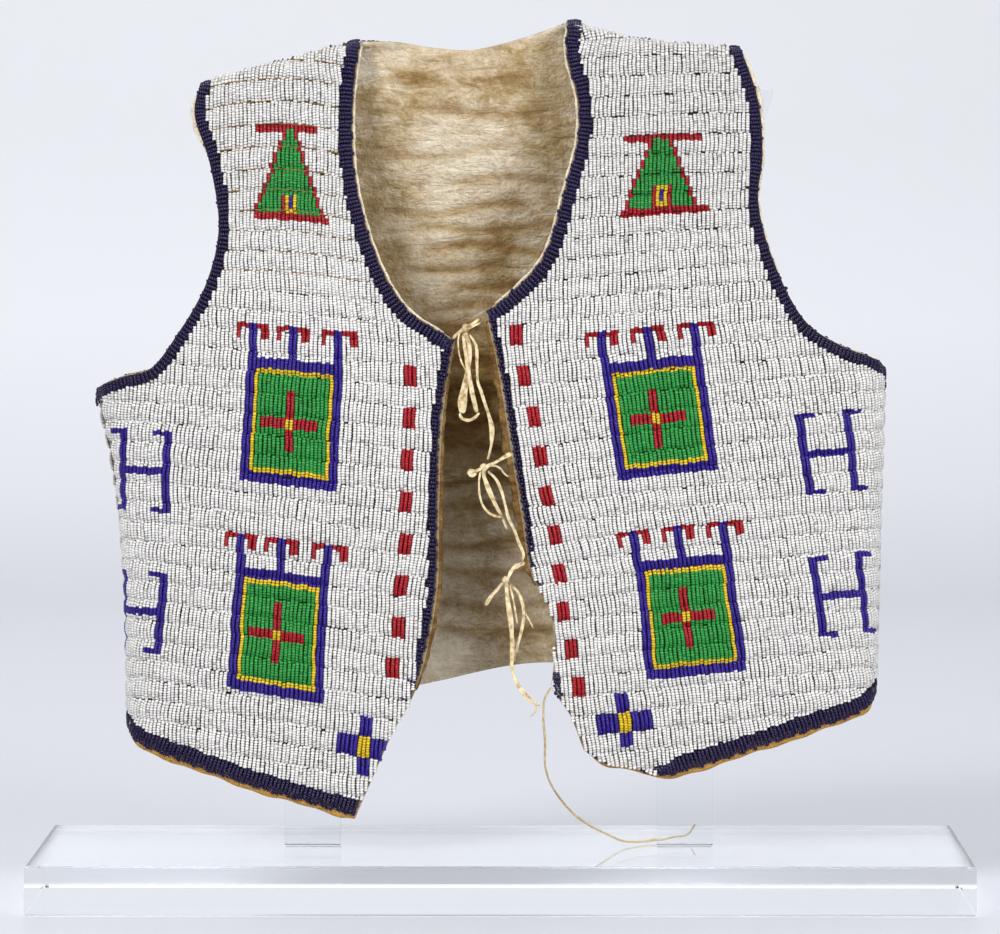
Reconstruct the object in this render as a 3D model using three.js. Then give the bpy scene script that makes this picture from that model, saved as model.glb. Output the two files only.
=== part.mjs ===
// A child's beaded hide vest resting on a clear acrylic display stand, in millimetres, +Z up.
// +X is to the right of someone facing the vest's front, and +Y goes from its front to its back.
// The origin is the middle of the base slab's underside. The vest hangs from its shoulders on two bars.
import * as THREE from "three";

// ---- Driving dimensions of the stand ----
const BASE = { width: 400, depth: 150, height: 21, bevel: 0.8 };
const UPRIGHT = { width: 24, thickness: 8, centreY: -1, bevel: 0.4 };
const BAR = { height: 13.5, thickness: 6, bevel: 0.4 };
const SUPPORTS = [ // an upright at uprightX, and the top of its shoulder bar from its neck end to its arm end
  { name: "left", uprightX: -81.4, neckX: -55.4, neckZ: 365, armX: -112, armZ: 349.5 },
  { name: "right", uprightX: 79.3, neckX: 42, neckZ: 368, armX: 117, armZ: 347 },
];

// ---- Driving dimensions of the cloth ----
const GAP = 0.3; // between pieces that touch
const SEAM_Y = 0.2; // half the gap between front and back at the shoulder and side seams
const WALL = 3; // hide and the beadwork sewn over it
const LANE_RISE = 0.5; // how far the middle of a lane stands over the groove beside it
const EDGING = { rise: 0.7, edgeRise: 0.1, gap: 0.6, step: 6 }; // gap is between the edging and the lanes
const SECTION_POWER = 2.5; // a level section through the body is a superellipse of this power
const FOLD_RADIUS = 9; // of the shoulder fold
const SWELL = { front: 23, back: 17, drop: 110 }; // how far the body rounds out below the fold
const SHOULDER = { // the two shoulder ridges, seen from the front
  left: { tipX: -129.5, tipZ: 350.6, neckX: -60.2, neckZ: 369.5 },
  right: { tipX: 102.5, tipZ: 366.4, neckX: 28.4, neckZ: 377.6, power: 2.2 },
};
const SIDE = { topZ: 230, bottomZ: 60, left: 162, leftFlare: 13.5, right: 162, rightFlare: 4 };
const UNDERARM_Z = { left: 216, right: 222.5 };
const SIDE_HEM_Z = { left: 73.5, right: 88 };

// ---- Outlines, each row a point x, z of an edge that a smooth curve passes through ----
const LEFT_EDGES = {
  neck: [[-60.2, 369.5], [-63.4, 337], [-61.2, 306], [-51.3, 273.7], [-40, 254.5], [-19.5, 240.5]],
  opening: [[-19.5, 240.5], [-24.5, 209], [-26.2, 170], [-27.2, 132], [-35.8, 92.7], [-47, 71], [-62.5, 35.8]],
  hem: [[-62.5, 35.8], [-106, 48], [-141, 59.5], [-158.7, 66.4], [-161.5, 70.4], [-162.1, 73.5]],
  armhole: [[-172.5, 216], [-171.6, 219.6], [-161.2, 224.4], [-150.5, 227.9], [-138.6, 242.7], [-126.2, 264.5],
    [-120.9, 288], [-125.2, 316.8], [-131.6, 337], [-129.5, 350.6]],
};
const RIGHT_EDGES = {
  neck: [[28.4, 377.6], [27.6, 363], [32.6, 343], [32.5, 327], [26.8, 305], [17.5, 276], [5, 262],
    [-6.5, 252.8]],
  opening: [[-6.5, 252.8], [-1, 226.8], [4.7, 191], [9, 164.6], [12.5, 142.5], [21.5, 123], [22.6, 104],
    [22.4, 92], [29.4, 80.9], [35.5, 65.5]],
  hem: [[35.5, 65.5], [44, 60], [57, 57.4], [69, 53.4], [85.3, 57.2], [128.7, 70.7], [158.5, 80.6],
    [161.7, 84.6], [162.3, 88]],
  armhole: [[165.8, 222.5], [165.1, 229.4], [159.2, 232.9], [148.8, 236.6], [131.3, 247.4], [117.1, 272.7],
    [110, 300], [111.9, 319.3], [110.3, 342], [102.5, 366.4]],
};
const BACK_NECK = [[-60.2, 369.5], [-45, 369], [-30, 366], [-12.5, 364.6], [9, 370.2], [28.4, 377.6]];
const BACK_HEM = [[-162.1, 73.5], [-120, 77], [-80, 82], [-36, 88.5], [12, 98], [60, 96], [110, 91],
  [162.3, 88]];

// Beaded edging: its width, and the fractions of the edge between which it is sewn on.
// Outside them the panel itself reaches the edge of the hide.
const EDGING_ALONG = {
  left: { neck: { width: 6, from: 0, to: 1 }, opening: { width: 5.2, from: 0, to: 0.74 },
    hem: { width: 7.5, from: 0, to: 1 }, armhole: { width: 5, from: 0, to: 1 } },
  right: { neck: { width: 6, from: 0, to: 1 }, opening: { width: 2.8, from: 0, to: 0.6 },
    hem: { width: 7.5, from: 0.22, to: 1 }, armhole: { width: 5, from: 0, to: 1 } },
  back: { neck: { width: 6, from: 0, to: 1 }, hem: { width: 7.5, from: 0, to: 1 },
    leftArmhole: { width: 5, from: 0, to: 1 }, rightArmhole: { width: 5, from: 0, to: 1 } },
};

// ---- Lanes of beads: a lane's number grows downwards from the shoulder ----
const LANES = {
  left: { topZ: 372, pitch: 9, fromX: -150, ease: 20, slope: 0.025, slopePerLane: 0.0031, towards: 1 },
  right: { topZ: 381, pitch: 8.5, fromX: 150, ease: 20, slope: 0.07, slopePerLane: 0.0008, towards: -1 },
};
// The back's lanes are level between the shoulders and the waist, and bend to the neck and hem beyond.
const BACK_LANES = { topZ: 339, pitch: 9, shoulder: 3, level: 19, hem: 8 };
const COLUMNS = { front: 10, backShoulder: 4, backNeck: 8 };
const FOLD_LEVELS = [0.1, 0.25]; // extra rows of the back where it rounds the shoulder fold
const TURN_WEIGHT = 20; // columns crowd together where the body turns: this many mm for each radian
const TIP_CLEAR = 0.12; // the first and last rows stop this part of a lane short of a panel's tips
const ROW_CLEAR = { edgingEnd: 0.02, lane: 0.08, opening: 0.2, back: 0.1 }; // least part of a lane between rows
const STATIONS = { ridge: 8, side: 12 }; // steps along a shoulder ridge and along a side seam
const FINE_STEPS = { outlinePoint: 24, row: 80 }; // steps that a curve's length is measured with
const COVERED = 1.3; // a bare station nearer to a corner than this many edging widths is under the edging
const SMOOTH_COSINE = 0.98; // edges that meet at a smaller angle than this make no corner

// ---- Thongs ----
const LOOSE_THONG = { diameter: 1.2, sides: 8, step: 4,
  route: [[21.4, -36, 93], [18.7, -38, 88], [18.2, -37.5, 80], [18.9, -35.8, 70], [18.9, -33.6, 60],
    [20.2, -31.2, 54], [22.6, -28, 48.5], [26.4, -23, 42.6], [31.4, -18, 36.6], [37.6, -12, 31.4],
    [45.6, -6, 26.6], [52.3, -1.6, 23.2], [57.8, 2, 22.2], [63, 6, 22.1], [67.2, 10, 22.3],
    [71.5, 15.5, 22.2], [76.4, 20.5, 22.8], [80, 22.6, 22.8], [82.6, 23.4, 24.6], [84.6, 23.8, 28]] };
const KNOT = { x: 2.9, y: 2, z: 2.3, segments: 8, rings: 6 };
// Ties between the fronts, each with a knot, a bow and a tail. Rows of a bow or tail are x, y, z, half width.
const TIES = [
  { knot: [-14.7, -35.5, 246.6],
    bow: [[-14.2, -35.4, 243.6, 1.5], [-13.8, -35.6, 238, 2.6], [-13.4, -35.8, 226, 3], [-13.3, -35.8, 214, 3.3],
      [-13.3, -35.8, 209.6, 2]],
    tail: [[-11.6, -38.4, 243, 0.9], [-10.2, -38.8, 236.5, 0.9], [-10.2, -38.8, 228, 1], [-9.8, -38.8, 221.5, 1],
      [-6.8, -38, 212, 1], [-3.9, -37.2, 202.4, 1.3], [-4.2, -36.8, 196, 0.8], [-5.2, -36.6, 190.4, 0.5]] },
  { knot: [-7.2, -35.5, 186.8],
    bow: [[-6.8, -35.4, 183.9, 1.6], [-5.6, -35.6, 179, 3], [-4, -35.8, 173, 3.8], [-1, -35.8, 168, 2.6],
      [0.6, -35.6, 166, 1.6]],
    tail: [[-4.6, -38.4, 185, 0.9], [-1.9, -38.8, 181, 0.9], [0.2, -38.8, 174.6, 0.9], [2.2, -38.6, 169.3, 0.9],
      [5.4, -38, 163.2, 0.9], [8, -37.4, 154.8, 0.9], [9.2, -37, 151, 1], [8.6, -36.8, 147.6, 0.7]] },
  { knot: [3.1, -35.5, 139.4],
    bow: [[5, -35.2, 136.6, 1.2], [8.4, -35.4, 130, 2.2], [8.4, -35.4, 119, 2.2], [7, -35.4, 110, 1.7],
      [6.6, -35.4, 103.6, 1.1]],
    tail: [[1.6, -38.2, 137.6, 1.4], [3.1, -38.6, 128.3, 1.4], [4.4, -38.6, 118.3, 1.4], [4.6, -38.4, 108.4, 1.3],
      [5.2, -38.2, 99, 1], [7.7, -38, 92.4, 0.8], [11.1, -37.8, 87.4, 0.6], [16.6, -37.6, 84.4, 0.4]] },
];
const STRAND = { sides: 6, bowHalfDepth: 1.1, tailHalfDepth: 0.7 };

const group = new THREE.Group();
const material = {
  beads: new THREE.MeshStandardMaterial({ color: 0xd9dbdd, roughness: 0.35, metalness: 0 }),
  navy: new THREE.MeshStandardMaterial({ color: 0x1a1038, roughness: 0.3, metalness: 0 }),
  hide: new THREE.MeshStandardMaterial({ color: 0xc9b98f, roughness: 0.9, metalness: 0 }),
  acrylic: new THREE.MeshStandardMaterial({ color: 0xeef2f6, roughness: 0.05, metalness: 0 }),
};

// ---- Small helpers ----
const clamp = (value, low, high) => Math.min(Math.max(value, low), high);
const mix = (a, b, t) => a + (b - a) * t;

function addMesh(name, geometry, surface) {
  const mesh = new THREE.Mesh(geometry, surface);
  mesh.name = name;
  group.add(mesh);
  return mesh;
}

// ---- The body's form: depth y over each point x, z of the front view ----
function ridgeHeight(x) {
  const { left, right } = SHOULDER;
  if (x <= left.neckX)
    return left.neckZ + ((left.neckZ - left.tipZ) * (x - left.neckX)) / (left.neckX - left.tipX);
  if (x <= right.neckX)
    return mix(left.neckZ, right.neckZ, (x - left.neckX) / (right.neckX - left.neckX));
  const towardsNeck = clamp((right.tipX - x) / (right.tipX - right.neckX), 0, 1);
  return right.tipZ + (right.neckZ - right.tipZ) * towardsNeck ** right.power;
}

function sideX(z) {
  const up = clamp((z - SIDE.bottomZ) / (SIDE.topZ - SIDE.bottomZ), 0, 1);
  return { left: -(SIDE.left + SIDE.leftFlare * up ** 3), right: SIDE.right + SIDE.rightFlare * up ** 1.5 };
}

// -1 at the left side seam, 0 in the middle and 1 at the right side seam
function across(x, z) {
  const side = sideX(z);
  return clamp((2 * x - side.left - side.right) / (side.right - side.left), -1, 1);
}

function foldDepth(drop, face) {
  const swell = face < 0 ? SWELL.front : SWELL.back;
  const round = clamp(drop, 0, FOLD_RADIUS);
  const s = clamp(drop / SWELL.drop, 0, 1);
  return Math.sqrt(round * (2 * FOLD_RADIUS - round)) + swell * s * s * (3 - 2 * s);
}

const sectionDepth = (u) => (1 - Math.abs(u) ** SECTION_POWER) ** (1 / SECTION_POWER);

// The point of the beadwork's groove level; face is -1 for the front and 1 for the back.
function surfacePoint(x, z, face) {
  const depth = sectionDepth(across(x, z)) * foldDepth(ridgeHeight(x) - z, face);
  return new THREE.Vector3(x, face * Math.max(depth, SEAM_Y), z);
}

// Outward normal, from the gradient of |y| - section(x) * fold(drop)
function surfaceNormal(x, z, face) {
  const h = 0.05;
  const u = clamp(across(x, z), -0.99999, 0.99999);
  const drop = Math.max(ridgeHeight(x) - z, 0.001);
  const section = sectionDepth(u);
  const fold = foldDepth(drop, face);
  const steepness = Math.abs(u) ** (SECTION_POWER - 1) * section ** (1 - SECTION_POWER);
  const sectionSlope = -Math.sign(u) * steepness;
  const foldSlope = (foldDepth(drop + h, face) - foldDepth(Math.max(drop - h, 0), face)) /
    (h + Math.min(h, drop));
  const uPerX = (across(x + h, z) - across(x - h, z)) / (2 * h) || 1 / 165;
  const ridgeSlope = (ridgeHeight(x + h) - ridgeHeight(x - h)) / (2 * h);
  const normal = new THREE.Vector3(
    -(sectionSlope * uPerX * fold + section * foldSlope * ridgeSlope), face, section * foldSlope);
  const onSeam = Math.abs(across(x, z)) > 0.999999 || ridgeHeight(x) - z < 1e-4;
  if (onSeam) normal.y = 0;
  return normal.normalize();
}

function moved(x, z, face, distance) {
  return surfacePoint(x, z, face).addScaledVector(surfaceNormal(x, z, face), distance);
}

// ---- Edges: evenly spaced stations along an outline curve ----
function edgeStations(rows, face, kind, edging) {
  const curve = new THREE.CatmullRomCurve3(rows.map(([x, z]) => new THREE.Vector3(x, 0, z)));
  const fine = curve.getPoints(FINE_STEPS.outlinePoint * rows.length).map((p) => surfacePoint(p.x, p.z, face));
  const run = fine.map(() => 0);
  for (let i = 1; i < fine.length; i++) run[i] = run[i - 1] + fine[i].distanceTo(fine[i - 1]);
  const total = run[run.length - 1];
  const count = Math.max(2, Math.round(total / EDGING.step));
  const stations = [];
  for (let i = 0; i <= count; i++) {
    const want = (total * i) / count;
    const next = clamp(run.findIndex((value) => value >= want), 1, run.length - 1);
    const p = fine[next - 1].clone().lerp(fine[next], (want - run[next - 1]) / (run[next] - run[next - 1]));
    const sewn = i / count >= edging.from && i / count <= edging.to;
    stations.push({ x: p.x, z: p.z, kind, width: sewn ? edging.width : 0 });
  }
  return stations;
}

function ridgeStations(side) {
  const { tipX, neckX } = SHOULDER[side];
  return Array.from({ length: STATIONS.ridge + 1 }, (_, i) => {
    const x = mix(tipX, neckX, i / STATIONS.ridge);
    return { x, z: ridgeHeight(x), kind: "ridge", width: 0 };
  });
}

function sideStations(side, fromZ, toZ) {
  return Array.from({ length: STATIONS.side + 1 }, (_, i) => {
    const z = mix(fromZ, toZ, i / STATIONS.side);
    return { x: sideX(z)[side], z, kind: "side", width: 0 };
  });
}

// Puts a point that belongs to a seam back onto it.
function onSeam(station) {
  if (station.kind.includes("side")) station.x = sideX(station.z)[station.x < 0 ? "left" : "right"];
  if (station.kind.includes("ridge")) station.z = ridgeHeight(station.x);
  return station;
}

// Joins edges into a closed loop; where two meet, one station holds both kinds and both widths.
function closedLoop(edges) {
  const loop = [];
  edges.forEach((edge) => edge.forEach((station, i) => {
    const last = loop[loop.length - 1];
    if (i === 0 && last) {
      last.kind += " " + station.kind;
      last.widths.push(station.width);
    } else loop.push({ ...station, widths: [station.width] });
  }));
  const last = loop.pop();
  loop[0].kind = last.kind + " " + loop[0].kind;
  loop[0].widths = [last.width, loop[0].width];
  return loop.filter((station) => !underEdging(station, loop));
}

// A bare station is left out where the edging of the edge that its own edge meets already covers it.
function underEdging(station, loop) {
  const isBare = station.widths.length === 1 && station.width === 0;
  return isBare && loop.some((corner) => corner.widths.length === 2 && corner.kind.includes(station.kind) &&
    Math.hypot(corner.x - station.x, corner.z - station.z) < COVERED * Math.max(...corner.widths));
}

// Moves each station of a loop inwards along the surface by the width of its edging plus extra.
// Where two edges meet it goes to the corner that lies at both widths.
function insetLoop(loop, face, turn, extra) {
  const points = loop.map((s) => surfacePoint(s.x, s.z, face));
  return loop.map((station, i) => {
    const normal = surfaceNormal(station.x, station.z, face);
    const before = points[(i + loop.length - 1) % loop.length];
    const after = points[(i + 1) % loop.length];
    const inward = [points[i].clone().sub(before), after.clone().sub(points[i])].map((along) =>
      along.cross(normal).multiplyScalar(turn).normalize());
    const widths = station.widths.map((w) => (w > 0 ? w + extra : 0));
    const first = widths[0];
    const second = widths[widths.length - 1];
    const cosine = inward[0].dot(inward[1]);
    const shift = new THREE.Vector3();
    if (cosine > SMOOTH_COSINE) shift.copy(inward[0]).add(inward[1]).normalize().multiplyScalar((first + second) / 2);
    else {
      const scale = 1 / (1 - cosine * cosine);
      shift.addScaledVector(inward[0], (first - second * cosine) * scale);
      shift.addScaledVector(inward[1], (second - first * cosine) * scale);
    }
    return onSeam({ x: station.x + shift.x, z: station.z + shift.z, kind: station.kind });
  });
}

// ---- Solids from rows of points ----
class Skin {
  constructor() {
    this.points = [];
    this.faces = [];
  }
  row(points) {
    const first = this.points.length / 3;
    points.forEach((p) => this.points.push(p.x, p.y, p.z));
    return points.map((_, i) => first + i);
  }
  quad(a, b, c, d) {
    this.faces.push(a, b, c, a, c, d);
  }
  strip(rowA, rowB, flip) {
    for (let i = 0; i + 1 < rowA.length; i++) {
      if (flip) this.quad(rowA[i], rowB[i], rowB[i + 1], rowA[i + 1]);
      else this.quad(rowA[i], rowA[i + 1], rowB[i + 1], rowB[i]);
    }
  }
  // Triangles between a finer run of points and the two ends of a coarser one
  fan(fine, from, to, flip) {
    const turnAt = Math.floor((fine.length - 1) / 2);
    const add = (a, b, c) => this.faces.push(...(flip ? [a, c, b] : [a, b, c]));
    for (let i = 0; i + 1 < fine.length; i++) add(fine[i], fine[i + 1], i < turnAt ? from : to);
    add(fine[turnAt], to, from);
  }
  cap(ring, flip) {
    for (let i = 1; i + 1 < ring.length; i++)
      this.faces.push(...(flip ? [ring[0], ring[i + 1], ring[i]] : [ring[0], ring[i], ring[i + 1]]));
  }
  volume() {
    const v = (i) => new THREE.Vector3().fromArray(this.points, 3 * i);
    let sum = 0;
    for (let i = 0; i < this.faces.length; i += 3)
      sum += v(this.faces[i]).dot(v(this.faces[i + 1]).cross(v(this.faces[i + 2])));
    return sum / 6;
  }
  geometry() {
    if (this.volume() < 0)
      for (let i = 0; i < this.faces.length; i += 3)
        [this.faces[i + 1], this.faces[i + 2]] = [this.faces[i + 2], this.faces[i + 1]];
    return new THREE.BufferGeometry()
      .setAttribute("position", new THREE.Float32BufferAttribute(this.points, 3))
      .setIndex(this.faces);
  }
}

// A wall with lanes: each row is { outer, inner }, and rows between grooves have no inner points.
function lanedWall(rows) {
  const skin = new Skin();
  const laid = rows.map((row) => ({ outer: skin.row(row.outer), inner: row.inner && skin.row(row.inner) }));
  for (let i = 0; i + 1 < laid.length; i++) skin.strip(laid[i].outer, laid[i + 1].outer, false);
  const grooves = laid.map((row, i) => (row.inner ? i : -1)).filter((i) => i >= 0);
  for (let g = 0; g + 1 < grooves.length; g++) {
    const [from, to] = [laid[grooves[g]], laid[grooves[g + 1]]];
    skin.strip(from.inner, to.inner, true);
    const between = laid.slice(grooves[g], grooves[g + 1] + 1);
    const last = from.outer.length - 1;
    skin.fan(between.map((row) => row.outer[0]), from.inner[0], to.inner[0], false);
    skin.fan(between.map((row) => row.outer[last]), from.inner[last], to.inner[last], true);
  }
  const [top, bottom] = [laid[0], laid[laid.length - 1]];
  skin.strip(top.outer, top.inner, true);
  skin.strip(bottom.outer, bottom.inner, false);
  return skin.geometry();
}

// A band along stations: outer edge, crown and inner edge over a plain underside.
function bandAlong(outerEdge, innerEdge, face) {
  const skin = new Skin();
  const rings = outerEdge.map((a, i) => {
    const b = innerEdge[i];
    const middle = { x: (a.x + b.x) / 2, z: (a.z + b.z) / 2 };
    return skin.row([
      moved(a.x, a.z, face, EDGING.edgeRise), moved(middle.x, middle.z, face, EDGING.rise),
      moved(b.x, b.z, face, EDGING.edgeRise),
      moved(b.x, b.z, face, -WALL), moved(a.x, a.z, face, -WALL),
    ]);
  });
  for (let i = 0; i + 1 < rings.length; i++)
    skin.strip([...rings[i], rings[i][0]], [...rings[i + 1], rings[i + 1][0]], false);
  skin.cap(rings[0], true);
  skin.cap(rings[rings.length - 1], false);
  return skin.geometry();
}

// ---- Fronts ----
function laneNumber(x, z, lanes) {
  const reach = lanes.towards * (x - lanes.fromX);
  const eased = (reach + Math.hypot(reach, lanes.ease)) / 2;
  return (lanes.topZ - z - lanes.slope * eased) / (lanes.pitch + lanes.slopePerLane * eased);
}

function laneHeight(x, lane, lanes) {
  const reach = lanes.towards * (x - lanes.fromX);
  const eased = (reach + Math.hypot(reach, lanes.ease)) / 2;
  return lanes.topZ - lane * lanes.pitch - (lanes.slope + lane * lanes.slopePerLane) * eased;
}

const laneRise = (lane) => LANE_RISE * (1 - (2 * (lane - Math.floor(lane)) - 1) ** 2);

// Where a chain of stations crosses a lane
function crossing(chain, lane) {
  for (let i = 0; i + 1 < chain.length; i++) {
    const [a, b] = [chain[i], chain[i + 1]];
    if (a.lane > lane || b.lane < lane) continue;
    const t = (lane - a.lane) / (b.lane - a.lane || 1);
    const shared = ["side", "ridge"].filter((kind) => a.kind.includes(kind) && b.kind.includes(kind));
    return onSeam({ x: mix(a.x, b.x, t), z: mix(a.z, b.z, t), kind: shared.join(" ") });
  }
  return chain[chain.length - 1];
}

// Points at equal steps along the surface between two stations, at heights given by heightAt(x)
function evenRow(from, to, columns, face, heightAt) {
  const angle = (station) => {
    const u = across(station.x, station.z);
    return Math.acos(clamp(Math.sign(u) * Math.abs(u) ** (SECTION_POWER / 2), -1, 1));
  };
  const [start, end] = [angle(from), angle(to)];
  const fineCount = FINE_STEPS.row;
  const fine = Array.from({ length: fineCount + 1 }, (_, i) => {
    if (i === 0) return surfacePoint(from.x, from.z, face);
    if (i === fineCount) return surfacePoint(to.x, to.z, face);
    const cosine = Math.cos(mix(start, end, i / fineCount));
    const u = Math.sign(cosine) * Math.abs(cosine) ** (2 / SECTION_POWER);
    const side = sideX(mix(from.z, to.z, i / fineCount));
    const x = clamp(((side.right - side.left) * u + side.left + side.right) / 2,
      Math.min(from.x, to.x), Math.max(from.x, to.x));
    return surfacePoint(x, heightAt(x), face);
  });
  const steps = fine.slice(1).map((p, i) => p.clone().sub(fine[i]));
  const run = [0];
  steps.forEach((step, i) => {
    const turned = i ? step.angleTo(steps[i - 1]) : 0;
    run.push(run[i] + step.length() + TURN_WEIGHT * turned);
  });
  const picked = [from];
  for (let c = 1; c < columns; c++) {
    const want = (run[fineCount] * c) / columns;
    const next = clamp(run.findIndex((value) => value >= want), 1, fineCount);
    const x = mix(fine[next - 1].x, fine[next].x, (want - run[next - 1]) / (run[next] - run[next - 1]));
    picked.push({ x, z: heightAt(x) });
  }
  picked.push(to);
  return picked;
}

// Adds a level between the first and the last, unless one lies closer than the given part of a lane.
function addLevel(levels, lane, clear) {
  if (lane > levels[0] && lane < levels[1] && levels.every((level) => Math.abs(level - lane) > clear))
    levels.push(lane);
}

// Whether the edging starts or stops beside this station, away from a corner
function edgingEnds(loop, i) {
  const near = [loop[i - 1], loop[i + 1]].filter((other) => other && other.widths.length === 1);
  return loop[i].widths.length === 1 && near.some((other) => other.width !== loop[i].width);
}

// Stations of the hem and armhole where the edge runs nearly along the lanes
function flatStations(chain) {
  return chain.filter((station, i) => {
    const next = chain[i + 1] ?? chain[i - 1];
    const flat = Math.abs(next.z - station.z) < Math.abs(next.x - station.x);
    return flat && (station.kind.includes("hem") || station.kind.includes("armhole"));
  });
}

function frontPanel(side) {
  const lanes = LANES[side];
  const edges = side === "left" ? LEFT_EDGES : RIGHT_EDGES;
  const sewn = (kind) => edgeStations(edges[kind], -1, kind, EDGING_ALONG[side][kind]);
  const loop = closedLoop([sewn("neck"), sewn("opening"), sewn("hem"),
    sideStations(side, SIDE_HEM_Z[side], UNDERARM_Z[side]), sewn("armhole"), ridgeStations(side)]);
  loop.forEach(onSeam);
  const turn = side === "left" ? 1 : -1;
  const inner = insetLoop(loop, -1, turn, EDGING.gap);
  inner.forEach((s) => { s.lane = laneNumber(s.x, s.z, lanes); });
  const lowest = inner.reduce((best, s, i) => (s.lane > inner[best].lane ? i : best), 0);
  const towardsOpening = inner.slice(0, lowest + 1);
  const towardsSide = [...inner.slice(lowest), inner[0]].reverse();
  const firstLane = inner[0].lane + TIP_CLEAR;
  const lastLane = inner[lowest].lane - TIP_CLEAR;
  const levels = [firstLane, lastLane];
  inner.filter((_, i) => edgingEnds(loop, i)).forEach((s) => addLevel(levels, s.lane, ROW_CLEAR.edgingEnd));
  for (let lane = Math.ceil(firstLane * 2) / 2; lane < lastLane; lane += 0.5)
    addLevel(levels, lane, ROW_CLEAR.lane);
  flatStations(towardsSide).forEach((s) => addLevel(levels, s.lane, ROW_CLEAR.lane));
  flatStations(towardsOpening).forEach((s) => addLevel(levels, s.lane, ROW_CLEAR.opening));
  levels.sort((a, b) => a - b);
  const rows = levels.map((lane) => {
    const from = crossing(towardsSide, lane);
    const to = crossing(towardsOpening, lane);
    const spots = evenRow(from, to, COLUMNS.front, -1, (x) => laneHeight(x, lane, lanes));
    const crest = Number.isInteger(lane - 0.5);
    return {
      outer: spots.map((s) => moved(s.x, s.z, -1, laneRise(lane))),
      inner: !crest && spots.map((s) => moved(s.x, s.z, -1, -WALL)),
    };
  });
  addMesh("front_" + side, lanedWall(rows), material.beads);
  addEdgings(loop, insetLoop(loop, -1, turn, 0), -1, "front_" + side,
    { edge: ["neck", "opening"], hem: ["hem"], armhole: ["armhole"] });
}

// One band of edging for each name in runs, along the edges of the kinds that it lists
function addEdgings(loop, inner, face, owner, runs) {
  for (const [name, kinds] of Object.entries(runs)) {
    const indexes = [];
    loop.forEach((s, i) => {
      const belongs = s.kind.split(" ").some((kind, k) => kinds.includes(kind) && s.widths[k] >= 1);
      if (belongs) indexes.push(i);
    });
    const start = indexes.findIndex((value, i) => i && value !== indexes[i - 1] + 1);
    const ordered = start > 0 ? [...indexes.slice(start), ...indexes.slice(0, start)] : indexes;
    if (ordered.length < 3) continue;
    addMesh(owner + "_edging_" + name,
      bandAlong(ordered.map((i) => loop[i]), ordered.map((i) => inner[i]), face), material.navy);
  }
}

// ---- Back ----
// Points of a run of stations at equal steps, the ends included
function alongRun(stations, count, face) {
  const points = stations.map((s) => surfacePoint(s.x, s.z, face));
  const run = points.map(() => 0);
  for (let i = 1; i < points.length; i++) run[i] = run[i - 1] + points[i].distanceTo(points[i - 1]);
  return Array.from({ length: count + 1 }, (_, c) => {
    const want = (run[run.length - 1] * c) / count;
    const next = clamp(run.findIndex((value) => value >= want), 1, run.length - 1);
    const t = clamp((want - run[next - 1]) / (run[next] - run[next - 1]), 0, 1);
    const [a, b] = [stations[next - 1], stations[next]];
    return { x: mix(a.x, b.x, t), z: mix(a.z, b.z, t) };
  });
}

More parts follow.
